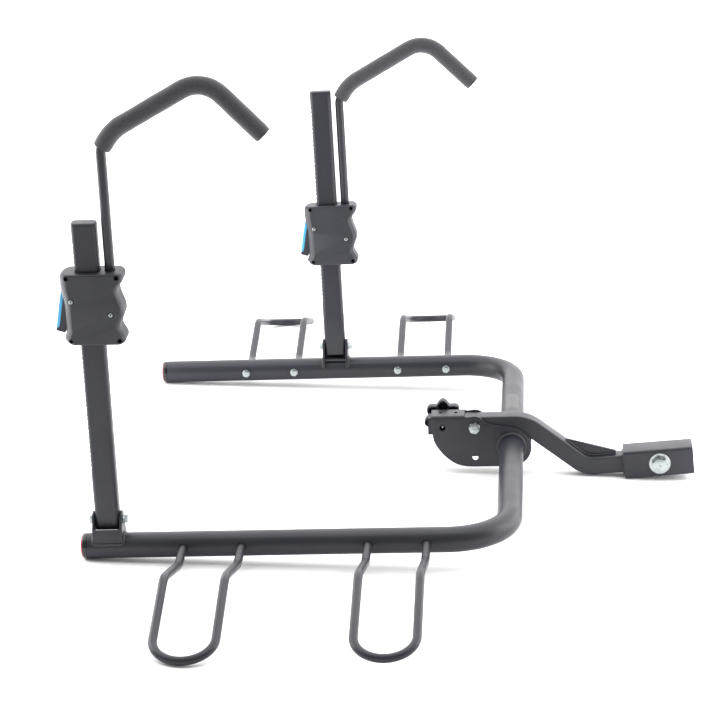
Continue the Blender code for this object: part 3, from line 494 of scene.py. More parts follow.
def hex_bolt(flat, head, shank_r, length, origin, axis, dimple=0.0):
    """Hex bolt: the head stands against the axis, the shank runs along it."""
    body = hex_prism(flat, -head, 0.0, origin, axis)
    if dimple:
        body = carve(body, [lathe(((dimple, -head - 1.0), (dimple * 0.8, -head + 1.6)),
                                  origin, axis, 24)])
    collar = lathe(((flat / 2 + 0.6, -0.1), (flat / 2 + 0.6, -1.0), (flat / 2, -1.5)),
                   origin, axis)
    shank = lathe(((shank_r, -0.5), (shank_r, length - 1.0), (shank_r - 1.0, length)),
                  origin, axis, 32)
    return joined([body, collar, shank])


def hex_nut(flat, height, bore, origin, axis):
    body = hex_prism(flat, 0.0, height, origin, axis)
    return carve(body, [lathe(((bore, -1.0), (bore, height + 1.0)), origin, axis, 32)])


def weld_bead(path, normal, radius, pitch=3.0, closed=False):
    """Rippled bead along a path, with each ripple leaning on the next."""
    fine = resampled(path, pitch / 5)
    travelled = 0.0
    scales = []
    for i, point in enumerate(fine):
        travelled += (point - fine[i - 1]).length if i else 0.0
        phase = (travelled / pitch) % 1.0
        scales.append(0.84 + 0.16 * math.sqrt(max(0.0, 1.0 - (2 * phase - 1.0) ** 2))
                      + 0.05 * noise.noise(point * 0.11))
    if not closed:
        for k, s in enumerate((0.35, 0.7, 0.9)):
            scales[k] *= s
            scales[-1 - k] *= s
    return sweep(fine, circle(radius, 12), normal, scales=scales)


# ---------------------------------------------------------------- main frame

def build_frame_tube():
    corners = ((ARM_END_X, -ARM_Y, 0), (0, -ARM_Y, 0), (0, ARM_Y, 0), (ARM_END_X, ARM_Y, 0))
    path = bend_path(corners, (CORNER_R, CORNER_R), 28)
    tube = sweep(path, circle(TUBE_R, 64), (0, 0, 1), circle(TUBE_BORE, 64))
    holes = []
    for side in (-1, 1):
        for mid in LOOP_X:
            for leg in (-1, 1):
                x = mid + leg * LOOP_HALF
                holes.append(rod(LOOP_HOLE_R, (x, side * (ARM_Y + 5), 0),
                                 (x, side * (ARM_Y + 30), 0)))
    piece("frame_tube", carve(tube, holes), "coat", "frame", angle=40,
          stands_for=("main_frame_tube",))


def build_arm_end(label):
    side = SIDE[label]
    start = ARM_END_X - GAP
    rim = -PLUG_FLANGE
    plug = lathe(((17.4, 16.0), (17.7, 0.3), (19.9, 0.1), (19.9, -0.9), (20.5, -1.0),
                  (20.9, -1.3), (21.0, -2.0), (21.0, rim + 1.6), (20.8, rim + 0.8),
                  (20.3, rim + 0.2), (19.8, rim), (19.4, rim), (19.3, rim + 0.3),
                  (16.8, rim + 0.3)),
                 (start, side * ARM_Y, 0), (1, 0, 0), 64)
    piece(label + "_arm_plug", plug, "gloss", "frame", stands_for=(label + "_end_plug",))
    face = start - PLUG_FLANGE - GAP
    lens = lathe(((19.2, 0.0), (19.2, -1.0), (18.9, -1.5), (18.3, -1.9), (17.0, -2.3),
                  (13.0, -2.7), (8.0, -2.9), (3.0, -2.95), (0.0, -2.95)),
                 (face, side * ARM_Y, 0), (1, 0, 0), 64)
    piece(label + "_reflector_lens", lens, "red", "frame", stands_for=(label + "_reflector",))


def loop_centres(mid, side):
    drop = (LOOP_STRAIGHT_END - LOOP_CREST) * math.tan(LOOP_SLOPE)
    start = side * (ARM_Y + 17.2)
    profile = ((0, start, 0), (0, side * (ARM_Y + LOOP_LEVEL), 0),
               (0, side * (ARM_Y + LOOP_RISE_START), LOOP_DIP_Z),
               (0, side * (ARM_Y + LOOP_CREST), LOOP_CREST_Z),
               (0, side * (ARM_Y + LOOP_STRAIGHT_END), LOOP_CREST_Z - drop))
    leg = bend_path(profile, (28.0, 60.0, 60.0), 10)
    outward = (leg[-1] - leg[-2]).normalized()
    across = Vector((1, 0, 0))
    centres = [p + across * (mid - LOOP_HALF) for p in leg]
    for i in range(1, 32):
        a = math.pi * i / 32
        centres.append(leg[-1] + across * (mid - LOOP_HALF * math.cos(a))
                       + outward * LOOP_HALF * math.sin(a))
    return centres + [p + across * (mid + LOOP_HALF) for p in reversed(leg)]


def build_wheel_loop(label, place, mid):
    side = SIDE[label]
    bm = bmesh.new()
    centres = loop_centres(mid, side)
    rings = []
    for i, point in enumerate(centres):
        back = (point - centres[i - 1]).normalized() if i else None
        ahead = (centres[i + 1] - point).normalized() if i < len(centres) - 1 else None
        tangent = ((back or ahead) + (ahead or back)).normalized()
        across = tangent.cross(Vector((0, 0, 1))).normalized()
        rise = across.cross(tangent).normalized()
        rings.append([bm.verts.new(point + across * u + rise * v)
                      for u, v in circle(LOOP_R, 28)])
    ring_strip(bm, rings)
    bm.faces.new(rings[0])
    bm.faces.new(rings[-1])
    name = f"{label}_{place}"
    piece(name + "_loop_rod", bm, "coat", "frame", stands_for=(name + "_wheel_loop",))
    for leg, end in ((-1, "outer"), (1, "inner")):
        x = mid + leg * LOOP_HALF
        seat = side * (ARM_Y - SADDLE_R)
        bolt = hex_bolt(SMALL_FLAT, 5.3, SMALL_SHANK_R, 22.0, (x, seat, 0), (0, side, 0), 1.7)
        piece(f"{name}_loop_screw_{end}", bolt, "zinc", "frame",
              stands_for=(f"{name}_bolt_{end}",))


# ---------------------------------------------------------------- brackets and masts

def ear_outline(side):
    top = arc_run((0.0, MAST_PIVOT_Z), EAR_TOP_R, 0, 180, 24)
    points = [(WALL_OUTER, WALL_FOOT), (WALL_OUTER, WALL_TOP - 1.0), (19.2, WALL_TOP + 1.6),
              (17.0, WALL_TOP + 4.0), (15.0, WALL_TOP + 7.0)] + top
    points += [(-15.4, 39.0), (-17.5, 34.0), (-20.0, 25.0), (-21.6, 15.0), (-22.5, 7.0),
               (-19.5, 6.0)]
    return [(side * (y + ARM_Y), z) for y, z in points]


def build_bracket(label):
    side, mid = SIDE[label], MAST_X[label]
    arm = side * ARM_Y
    ears = [prism(ear_outline(side), "yz", mid + x0, mid + x1, 0.7)
            for x0, x1 in ((-EAR_OUTER, -EAR_INNER), (EAR_INNER, EAR_OUTER))]
    y0, y1 = sorted((arm + side * WALL_INNER, arm + side * WALL_OUTER))
    wall = block(mid - EAR_INNER - 1, mid + EAR_INNER + 1, y0, y1, WALL_FOOT, WALL_TOP, 0.9)
    y0, y1 = sorted((arm + side * (WALL_INNER + 1), arm - side * 17.0))
    web = block(mid - EAR_INNER - 1, mid + EAR_INNER + 1, y0, y1, TUBE_R - 1.7,
                TUBE_R + 3.0, 0.6)
    parts = [carve(part, [rod(SADDLE_R, (mid - 60, arm, 0), (mid + 60, arm, 0), 64)])
             for part in ears + [wall, web]]
    piece(label + "_bracket_plates", joined(parts), "coat", "frame", angle=38,
          stands_for=(label + "_mast_bracket",))
    rim = arm + side * (WALL_OUTER - 0.35)
    edge = [Vector((mid - EAR_INNER + 2, rim, WALL_TOP - 0.25)),
            Vector((mid + EAR_INNER - 2, rim, WALL_TOP - 0.25))]
    piece(label + "_bracket_bare_edge", eased_rod(edge, circle(0.55, 12), (0, 0, 1), 0.4),
          "steel", "frame")
    beads = []
    for x in (mid - EAR_OUTER - 0.8, mid + EAR_OUTER + 0.8):
        arc = [Vector((x, arm + side * 21.6 * math.cos(a), 21.6 * math.sin(a)))
               for a in [math.radians(24 + 136 * k / 40) for k in range(41)]]
        beads.append(weld_bead(arc, (1, 0, 0), 2.1))
    foot = [Vector((mid + t, arm + side * 20.2, 8.2)) for t in (-24.0, 24.0)]
    beads.append(weld_bead(foot, (0, 0, 1), 2.2))
    piece(label + "_bracket_welds", joined(beads), "weld", "frame")
    seat = EAR_OUTER + GAP
    bolt = hex_bolt(SMALL_FLAT, 8.0, SMALL_SHANK_R, 2 * seat + 6.5,
                    (mid + seat, arm, MAST_PIVOT_Z), (-1, 0, 0), 1.4)
    piece(label + "_pivot_bolt", bolt, "zinc", "frame", stands_for=(label + "_mast_bolt",))
    nut = hex_nut(SMALL_FLAT, 5.0, SMALL_SHANK_R + GAP, (mid - seat, arm, MAST_PIVOT_Z), (-1, 0, 0))
    piece(label + "_pivot_nut", nut, "zinc", "frame", stands_for=(label + "_mast_nut",))


def mast_matrix(label):
    side = SIDE[label]
    return (RACK @ Matrix.Translation((MAST_X[label], side * ARM_Y, MAST_PIVOT_Z))
            @ Matrix.Rotation(MAST_PLAY[label], 4, "Y")
            @ Matrix.Rotation(-side * MAST_LEAN, 4, "X"))


def tooth_cut(z):
    """Depth of the scalloped rack at a height on the mast."""
    below = MAST_TOP - TOOTH_FIRST + 1.6 - z
    if below < 0 or below > TOOTH_COUNT * TOOTH_PITCH:
        return 0.0
    t = (below / TOOTH_PITCH) % 1.0
    return TOOTH_DEPTH * (0.5 - 0.5 * math.cos(2 * math.pi * t)) ** 0.75


def build_mast(label):
    body = label + "_mast_assembly"
    matrix = mast_matrix(label)
    top = MAST_TOP - MAST_CAP_H
    outline = rounded_rect(MAST_W, MAST_D, MAST_R, 10)
    inner = rounded_rect(MAST_W - 2 * MAST_WALL, MAST_D - 2 * MAST_WALL, MAST_R - MAST_WALL, 10)
    lowest = MAST_TOP - TOOTH_FIRST - TOOTH_COUNT * TOOTH_PITCH
    heights = [-MAST_FOOT, -MAST_FOOT + 0.3, lowest - 20.0, lowest]
    steps = int((top - lowest) / 0.8)
    heights += [lowest + (top - lowest) * k / steps for k in range(1, steps + 1)]
    bm = bmesh.new()
    rings = []
    for k, z in enumerate(heights):
        limit = -MAST_W / 2 + tooth_cut(z)
        s = 0.99 if k == 0 else 1.0
        rings.append([bm.verts.new((max(x, limit) * s, y * s, z)) for x, y in outline])
    ring_strip(bm, rings)
    hollow = [[bm.verts.new((x, y, z)) for x, y in inner] for z in (-MAST_FOOT, top)]
    ring_strip(bm, hollow)
    ring_strip(bm, [rings[0], hollow[0]])
    ring_strip(bm, [rings[-1], hollow[-1]])
    bm = carve(bm, [rod(MAST_BORE_R, (-MAST_W, 0, 0), (MAST_W, 0, 0))])
    piece(label + "_mast_tube", bm, "coat", body, matrix, 50, (label + "_mast",))
    bm = bmesh.new()
    levels = ((0.31, 0.35), (2.4, 0.35), (3.0, 0.5), (3.5, 0.9), (3.85, 1.5),
              (MAST_CAP_H, 2.4))
    rings = [[bm.verts.new((x, y, top + z)) for x, y in
              rounded_rect(MAST_W - 2 * inset, MAST_D - 2 * inset,
                           max(MAST_R - inset, 3.0), 10)] for z, inset in levels]
    ring_strip(bm, rings)
    bm.faces.new(rings[0])
    bm.faces.new(rings[-1])
    piece(label + "_mast_end_cap", bm, "plastic", body, matrix, 50, (label + "_mast_cap",))


# ---------------------------------------------------------------- clamps

def clamp_matrix(label):
    return mast_matrix(label) @ Matrix.Translation((0, 0, CLAMP_FOOT[label]))


def eased_edge(pairs, steps=12):
    points = []
    for (z0, x0), (z1, x1) in zip(pairs, pairs[1:]):
        for i in range(steps):
            t = i / steps
            points.append((x0 + (x1 - x0) * (1 - math.cos(math.pi * t)) / 2,
                           z0 + (z1 - z0) * t))
    points.append((pairs[-1][1], pairs[-1][0]))
    return points


def housing_outline():
    right = eased_edge(GRIP_EDGE)
    left = eased_edge(BACK_EDGE)[::-1]
    points = arc_run((47.5, 8.0), 8.0, -90, 0, 6)[:-1] + right
    points += arc_run((50.5, 110.0), 7.0, 0, 90, 6)
    points += arc_run((-37.0, 110.0), 7.0, 90, 180, 6)[:-1]
    points += left + arc_run((-33.5, 8.0), 8.0, 180, 270, 8)[1:-1]
    points += [(-33.0, 0.0), (0.0, 0.0)]
    return points


def housing_insets(depth):
    """Inset at a depth from the split: (toward the trigger, toward the grip, vertical)."""
    back = 22.25 - math.sqrt(22.25 ** 2 - max(0.0, depth - 5.0) ** 2)
    t = min(1.0, max(0.0, (depth - 13.0) / 12.6))
    grip = 10.5 * (1 - math.sqrt(1 - t * t))
    t = max(0.0, (depth - 21.5) / 3.5)
    return back, grip, 3.2 * (1 - math.sqrt(max(0.0, 1 - t * t)))


def housing_shell(sign):
    outline = housing_outline()
    depths = [0.15, 3.0] + [5.0 + 1.25 * k for k in range(1, 13)]
    depths += [21.5, 22.5, 23.3, 24.0, 24.5, 24.8, 24.95, 25.0]
    bm = bmesh.new()
    rings = []
    for depth in depths:
        back, grip, rise = housing_insets(depth)
        ring = []
        for x, z in outline:
            if x < 0:
                x += back * min(1.0, -x / 30.0)
            else:
                x -= grip * min(1.0, x / 40.0)
            z = HOUSING_H / 2 + (z - HOUSING_H / 2) * (1 - rise / (HOUSING_H / 2))
            ring.append(bm.verts.new((x, sign * depth, z)))
        rings.append(ring)
    ring_strip(bm, rings)
    bm.faces.new(rings[0])
    bm.faces.new(rings[-1])
    return bm


def build_shells(label):
    """Two half shells around the mast, with the trigger's mouth and the hook rod's bore."""
    matrix, body = clamp_matrix(label), label + "_clamp"
    for sign, name in ((-1, "near"), (1, "far")):
        channel = bmesh.new()
        rings = [[channel.verts.new((x, y, z)) for x, y in rounded_rect(*MAST_CHANNEL, 8)]
                 for z in (-5.0, HOUSING_H + 5.0)]
        ring_strip(channel, rings)
        channel.faces.new(rings[0])
        channel.faces.new(rings[1])
        shell = carve(housing_shell(sign), [channel])
        y0, y1 = sorted((-sign * 1.0, sign * 8.7))
        shell = carve(shell, [block(-60.0, -30.5, y0, y1, 11.0, 97.5)])
        shell = carve(shell, [block(-35.5, -17.0, y0, y1, 61.0, 101.0)])
        shell = carve(shell, [rod(8.6, (ROD_X, 0, 28.0), (ROD_X, 0, HOUSING_H + 5))])
        sinks = [rod(SINK_R, (x, sign * 23.6, z), (x, sign * 30, z))
                 for x, z in (TRIGGER_PIN, ROD_PIN)]
        if sign < 0:
            sinks += [rod(SCREW_HOLE_R, (x, -17.5, z), (x, -30, z), 32) for x, z in SCREWS]
        shell = carve(shell, sinks)
        piece(f"{label}_housing_{name}", shell, "plastic", body, matrix, 30,
              (f"{label}_shell_{name}",))
    build_screws(label)
    for name, (x, z) in (("trigger_pin", TRIGGER_PIN), ("rod_pin", ROD_PIN)):
        face = HOUSING_D / 2 - 0.4
        half = [(0.0, face + 0.3), (1.05, face + 0.3), (1.15, face + 1.5), (1.4, face + 1.7),
                (2.4, face + 1.7), (3.1, face + 1.35), (3.5, face + 0.7), (3.5, face - 0.3),
                (2.5, face - 0.3)]
        profile = [(r, -y) for r, y in half] + [(r, y) for r, y in reversed(half)]
        piece(f"{label}_{name}_rivet", lathe(profile, (x, 0, z), (0, 1, 0), 40), "zinc",
              body, matrix, 35, (f"{label}_{name}",))


def build_screws(label):
    """Near-black screw heads; the dark hole liners, the dark rings around the rivets and the dots
    in them are painted shade.
    """
    heads_and_shade = []
    for x, z in SCREWS:
        head = lathe(((3.35, -17.6), (3.35, -19.0), (2.8, -19.6), (1.5, -19.9), (0, -19.9)),
                     (x, 0, z), (0, 1, 0), 24)
        heads_and_shade.append(carve(head, [rod(1.2, (x, -21, z), (x, -18.6, z), 6)]))
        # Painted shade: a near-black liner lines the screw hole below the head.
        depth = -21.0 if x < 0 else -23.6
        heads_and_shade.append(lathe(((3.68, -17.6), (3.68, depth), (3.4, depth), (3.4, -17.6)),
                           (x, 0, z), (0, 1, 0), 32, True))
    # Painted shade: near-black rings fill the countersinks around the rivets, and near-black dots
    # fill the rivets' hollow centres.
    for x, z in (TRIGGER_PIN, ROD_PIN):
        for sign in (-1, 1):
            heads_and_shade.append(lathe(((4.58, 23.7), (4.58, 24.7), (4.4, 24.7), (3.6, 23.9),
                                (3.55, 23.7)), (x, 0, z), (0, sign, 0), 40, True))
            heads_and_shade.append(lathe(((1.0, 24.0), (1.0, 25.2), (0.4, 25.3), (0.0, 25.3)),
                               (x, 0, z), (0, sign, 0), 20))
    piece(label + "_screws_and_painted_shade", joined(heads_and_shade), "dark", label + "_clamp",
          clamp_matrix(label))


def inward(depth):
    """Ends of the trigger strip's back face, at a depth under its front face."""
    run = Vector((INSERT_FOOT[0] - INSERT_TOP[0], INSERT_FOOT[1] - INSERT_TOP[1]))
    run.normalize()
    shift = Vector((-run.y, run.x)) * depth
    return [(INSERT_TOP[0] + shift.x, INSERT_TOP[1] + shift.y),
            (INSERT_FOOT[0] + shift.x, INSERT_FOOT[1] + shift.y)]


def smooth_outline(points, rounds=2):
    """Corner cutting: every corner of the outline is rounded off."""
    for _ in range(rounds):
        cut = []
        for a, b in zip(points, points[1:] + points[:1]):
            cut.append((a[0] * 0.75 + b[0] * 0.25, a[1] * 0.75 + b[1] * 0.25))
            cut.append((a[0] * 0.25 + b[0] * 0.75, a[1] * 0.25 + b[1] * 0.75))
        points = cut
    return points


def build_trigger(label):
    matrix, body = clamp_matrix(label), label + "_lever"
    seat = inward(INSERT_T + 0.2)
    middle = ((seat[0][0] + seat[1][0]) / 2, (seat[0][1] + seat[1][1]) / 2)
    outline = [(-39.8, 92.2), seat[0], middle, seat[1], (-55.7, 25.2), (-56.3, 20.8),
               (-48.0, 18.2), (-39.8, 15.8), (-37.2, 42.0), (-34.2, 60.0), (-28.0, 67.0),
               (-22.8, 69.5), (-21.6, 75.5), (-24.3, 80.0), (-24.5, 97.5), (-29.5, 98.0),
               (-30.5, 84.0), (-35.0, 88.0)]
    lever = prism(smooth_outline(outline), "xz", -TRIGGER_HALF, TRIGGER_HALF, 0.7)
    x, z = TRIGGER_PIN
    lever = carve(lever, [rod(TRIGGER_BORE_R, (x, -12, z), (x, 12, z))])
    piece(label + "_trigger_lever", lever, "plastic", body, matrix, 38,
          (label + "_trigger",))
    inner = inward(INSERT_T)
    mid_out = ((INSERT_TOP[0] + INSERT_FOOT[0]) / 2 - 0.5,
               (INSERT_TOP[1] + INSERT_FOOT[1]) / 2)
    strip = [INSERT_TOP, mid_out, INSERT_FOOT, inner[1], inner[0]]
    piece(label + "_trigger_strip", prism(strip, "xz", -7.4, 7.4, 0.7), "blue", body,
          matrix, 38, (label + "_trigger_insert",))


def hook_corners(label, foot):
    peak, tip = HOOK_PEAK[label], HOOK_TIP[label]
    knee = HOOK_KNEE_Z[label]
    return ((ROD_X, 0, foot), (ROD_X, 0, knee),
            (ROD_X + HOOK_SHOULDER[0], 0, knee + HOOK_SHOULDER[1]),
            (peak[0], 0, peak[1]), (tip[0], 0, tip[1]))


def build_hook(label):
    matrix, body = clamp_matrix(label), label + "_clamp"
    steps = 16
    bends = bend_path(hook_corners(label, 30.0), HOOK_RADII, steps)
    path = bends[:-1] + [bends[-1] + (bends[-2] - bends[-1]).normalized() * 4.0]
    piece(label + "_hook_bar", eased_rod(path, circle(HOOK_ROD_R, 40), (0, 1, 0), 1.0),
          "coat", body, matrix, 40, (label + "_hook_rod",))
    cover = resampled(bends[steps + 1:], 7.0)
    frames = path_frames(cover, (0, 1, 0))
    bm = bmesh.new()
    rings = []
    count = len(frames)
    for k, (point, side, up) in enumerate(frames):
        ring = []
        end = 0.95 if k in (0, count - 1) else 1.0
        for u, v in circle(1.0, 48):
            where = point + side * u * FOAM_R + up * v * FOAM_R
            r = FOAM_R * end - 0.28 + 0.28 * noise.noise(where * 0.06)
            ring.append(bm.verts.new(point + side * u * r + up * v * r))
        rings.append(ring)
    ring_strip(bm, rings)
    hollow = [[bm.verts.new(point + side * u + up * v) for u, v in circle(8.1, 48)]
              for point, side, up in frames]
    ring_strip(bm, hollow)
    ring_strip(bm, [rings[0], hollow[0]])
    ring_strip(bm, [rings[-1], hollow[-1]])
    sleeve = piece(label + "_foam_sleeve", bm, "foam", body, matrix, 50,
                   (label + "_hook_foam",))


# ---------------------------------------------------------------- pivot channel

def channel_outline(lowest):
    """Side plate as (x, z) points; nothing of it goes below the lowest level."""
    points = [(-142.0, 57.6), (-141.9, 56.0), (-141.0, 30.0)]
    curve = [(-141.0, 30.0), (-137.0, 10.0), (-126.0, -8.3), (-112.2, -22.6),
             (-97.2, -32.2), (-80.0, -36.4), (-60.0, -37.3)]
    for i in range(len(curve) - 1):
        a = curve[max(i - 1, 0)]
        b, c = curve[i], curve[i + 1]
        d = curve[min(i + 2, len(curve) - 1)]
        for k in range(1, 7):
            t = k / 6
            points.append(tuple(0.5 * (2 * b[n] + (c[n] - a[n]) * t
                          + (2 * a[n] - 5 * b[n] + 4 * c[n] - d[n]) * t * t
                          + (3 * b[n] - a[n] - 3 * c[n] + d[n]) * t ** 3) for n in (0, 1)))
    points += [(-20.0, -37.3), (0.0, -37.3)]
    points += arc_run((0.0, -2.0), 35.3, -84.0, 50.0, 40)
    points += [(18.0, 28.6), (12.4, 32.0), (0.0, 35.5), (-13.5, 38.2), (-34.4, 42.0),
               (-43.5, 44.5)]
    points += arc_run(PIVOT, 20.5, 25.0, 105.0, 20)
    points += [(-78.0, 55.8), (-82.5, 57.6)]
    kept = []
    for i, (x, z) in enumerate(points):
        if not all(points[j % len(points)][1] < lowest for j in (i - 1, i, i + 1)):
            kept.append((x, max(z, lowest)))
    return kept


def build_channel():
    near = prism(channel_outline(PLATE_FOOT), "xz", -PLATE_OUT, -PLATE_IN, 0.6)
    far = prism(channel_outline(FAR_PLATE_FOOT), "xz", PLATE_IN, PLATE_OUT, 0.6)
    slot = arc_run(PIVOT, LOCK_R + LOCK_SLOT_HALF, 180, 270, 30)
    slot += arc_run((PIVOT[0], PIVOT[1] - LOCK_R), LOCK_SLOT_HALF, 270, 450, 14)[1:-1]
    slot += arc_run(PIVOT, LOCK_R - LOCK_SLOT_HALF, 270, 180, 30)
    slot += arc_run((PIVOT[0] - LOCK_R, PIVOT[1]), LOCK_SLOT_HALF, 0, 180, 14)[1:-1]
    lock_holes = [rod(LOCK_HOLE_R, (x, -60, z), (x, -10, z), 40)
                  for x, z in ((PIVOT[0] - LOCK_R, PIVOT[1]), (PIVOT[0], PIVOT[1] - LOCK_R))]
    plates = []
    for plate, last in ((near, lock_holes), (far, [prism(slot, "xz", 10, 60)])):
        plate = carve(plate, [rod(SADDLE_R, (0, -60, 0), (0, 60, 0), 64)])
        plate = carve(plate, [rod(TILT_BOLT_R + GAP, (PIVOT[0], -60, PIVOT[1]),
                                  (PIVOT[0], 60, PIVOT[1]), 40)])
        plates.append(carve(plate, last))
    half = PLATE_OUT
    section = [(-half, 54.0)]
    section += [(-half + 4.0 - 4.0 * math.cos(a), 55.0 + 4.0 * math.sin(a))
                for a in [math.radians(9 * k) for k in range(11)]]
    section += [(half - 4.0 + 4.0 * math.sin(a), 55.0 + 4.0 * math.cos(a))
                for a in [math.radians(9 * k) for k in range(11)]]
    section += [(half, 54.0), (half - 3.6, 54.0), (half - 4.6, 55.2), (-half + 4.6, 55.2),
                (-half + 3.6, 54.0)]
    bridge = prism(section, "yz", -142.0, -82.5, 0.5)
    bridge = carve(bridge, [rod(3.5, (x, 0, 50), (x, 0, 70), 28) for x in (-126.0, -98.0)])
    piece("channel_plates", joined(plates + [bridge]), "coat", "frame", angle=34,
          stands_for=("pivot_channel",))
    collars, beads = [], []
    for side in (-1, 1):
        collars.append(lathe(((27.0, -0.6), (26.6, 1.2), (25.2, 3.4), (23.4, 4.8),
                              (21.6, 5.4), (21.3, 5.2), (21.3, -0.6)),
                             (0, side * PLATE_OUT, 0), (0, side, 0), 64, True))
        ring = [Vector((24.2 * math.cos(a), side * (PLATE_OUT + 2.6), 24.2 * math.sin(a)))
                for a in [2 * math.pi * k / 96 for k in range(97)]]
        beads.append(weld_bead(ring, (0, 1, 0), 2.9, 3.2, True))
    piece("channel_weld_rings", joined(collars + beads), "weld", "frame")


# ---------------------------------------------------------------- drawbar

def along_sleeve(distance, lift=0.0):
    c, s = math.cos(SLEEVE_TILT), math.sin(SLEEVE_TILT)
    return SLEEVE_X + distance * c - lift * s, SLEEVE_Z + distance * s + lift * c


def shank_path():
    end = along_sleeve(SLEEVE_L - 3.0)
    corners = ((SHANK_START_X, 0, SHANK_Z), (SHANK_BEND_1[0], 0, SHANK_Z),
               (SHANK_BEND_2[0], 0, SHANK_BEND_2[1]), (end[0], 0, end[1]))
    return bend_path(corners, (60.0, 45.0), 20)


def build_shank():
    path = shank_path()
    tube = sweep(path, rounded_rect(SHANK, SHANK, 3.4, 8), (0, 1, 0),
                 rounded_rect(SHANK - 2 * SHANK_WALL, SHANK - 2 * SHANK_WALL, 1.4, 8))
    tube = carve(tube, [rod(LOCK_HOLE_R, (PIVOT[0] - LOCK_R, -30, PIVOT[1]),
                                       (PIVOT[0] - LOCK_R, 30, PIVOT[1]), 40)])
    piece("shank_bar", tube, "coat", "drawbar", angle=34, stands_for=("shank_tube",))
    lift = SHANK / 2 + GAP
    lower, seam = [], []
    for i in range(22, len(path) - 1):
        back = (path[i] - path[i - 1]).normalized()
        ahead = (path[i + 1] - path[i]).normalized()
        tangent = (back + ahead).normalized()
        up = Vector((-tangent.z, 0, tangent.x))
        lower.append(path[i] + up * lift)
    slope = (Vector((SHANK_BEND_2[0], 0, SHANK_BEND_2[1]))
             - Vector((SHANK_BEND_1[0], 0, SHANK_Z))).normalized()
    start = lower[0] - slope * 40.0
    finish = lower[-1] + (path[-1] - path[-2]).normalized() * 38.0
    outline = [(start.x, start.z)] + [(p.x, p.z) for p in lower] + [(finish.x, finish.z)]
    outline += [(finish.x, finish.z + 6.3), (start.x + 2.5, start.z + 1.8)]
    piece("gusset_plate", prism(outline, "xz", -2.5, 2.5, 0.6), "coat", "drawbar",
          stands_for=("shank_gusset",))
    for side in (-1, 1):
        seam.append(weld_bead([p + Vector((0, side * 3.2, 0.8))
                               for p in [start + slope * 2] + lower + [finish]],
                              (0, 1, 0), 1.8))
    mouth = along_sleeve(0.0)
    flare = []
    c, s = math.cos(SLEEVE_TILT), math.sin(SLEEVE_TILT)
    for u, v in rounded_rect(SHANK + 3.0, SHANK + 3.0, 4.5, 8):
        flare.append(Vector((mouth[0] - u * s, v, mouth[1] + u * c)))
    flare.append(flare[0])
    fine = resampled(flare, 1.5)
    seam.append(weld_bead(fine, (c, 0, s), 2.0, 3.2, True))
    piece("drawbar_welds", joined(seam), "weld", "drawbar")


def build_sleeve():
    (x0, z0), (x1, z1) = along_sleeve(0), along_sleeve(SLEEVE_L)
    start, end = Vector((x0, 0, z0)), Vector((x1, 0, z1))
    run = (end - start).normalized()
    path = [start, start + run * 0.4, start + run * 1.2, end - run * 1.2, end - run * 0.4, end]
    scales = [0.965, 0.985, 1.0, 1.0, 0.985, 0.965]
    bm = bmesh.new()
    outer, inner = [], []
    for (point, side, up), s in zip(path_frames(path, (0, 1, 0)), scales):
        outer.append([bm.verts.new(point + side * u * s + up * v * s)
                      for u, v in rounded_rect(SLEEVE, SLEEVE, 5.0, 8)])
        inner.append([bm.verts.new(point + side * u + up * v)
                      for u, v in rounded_rect(SHANK + 2 * GAP, SHANK + 2 * GAP, 2.5, 8)])
    ring_strip(bm, outer)
    ring_strip(bm, inner)
    ring_strip(bm, [outer[0], inner[0]])
    ring_strip(bm, [outer[-1], inner[-1]])
    x, z = along_sleeve(HITCH_AT)
    bm = carve(bm, [rod(HITCH_BOLT_R + GAP, (x, -60, z), (x, 60, z), 40)])
    piece("sleeve_body", bm, "coat", "drawbar", angle=30, stands_for=("adapter_sleeve",))
    face = SLEEVE / 2 + 0.2
    washer = lathe(((8.4, 0.0), (18.6, 0.0), (19.0, -0.4), (19.0, -2.0), (18.5, -2.5),
                    (8.6, -2.5), (8.4, -2.2)), (x, -face, z), (0, 1, 0), 64, True)
    piece("hitch_flat_washer", washer, "zinc", "drawbar", stands_for=("hitch_washer",))
    seat = -face - 2.7
    bolt = hex_bolt(24.0, 10.0, HITCH_BOLT_R, 80.0, (x, seat, z), (0, 1, 0), 2.2)
    piece("hitch_cross_bolt", bolt, "zinc", "drawbar", stands_for=("hitch_bolt",))
    piece("hitch_hex_nut", hex_nut(24.0, 14.0, 8.2, (x, face, z), (0, 1, 0)), "zinc",
          "drawbar", stands_for=("hitch_nut",))
    seat = PLATE_OUT + GAP
    bolt = hex_bolt(18.0, 7.5, TILT_BOLT_R, 2 * seat + 12.5, (PIVOT[0], -seat, PIVOT[1]),
                    (0, 1, 0), 1.8)
    piece("tilt_pivot_bolt", bolt, "zinc", "drawbar", stands_for=("tilt_bolt",))
    piece("tilt_hex_nut", hex_nut(18.0, 10.0, 6.2, (PIVOT[0], seat, PIVOT[1]), (0, 1, 0)),
          "zinc", "drawbar", stands_for=("tilt_nut",))


# ---------------------------------------------------------------- lock knob

def knob_radius(angle, inset=0.0):
    wave = 0.5 + 0.5 * math.cos(KNOB_LOBES * angle)
    return KNOB_R - 7.5 + 7.5 * wave ** 0.8 - inset


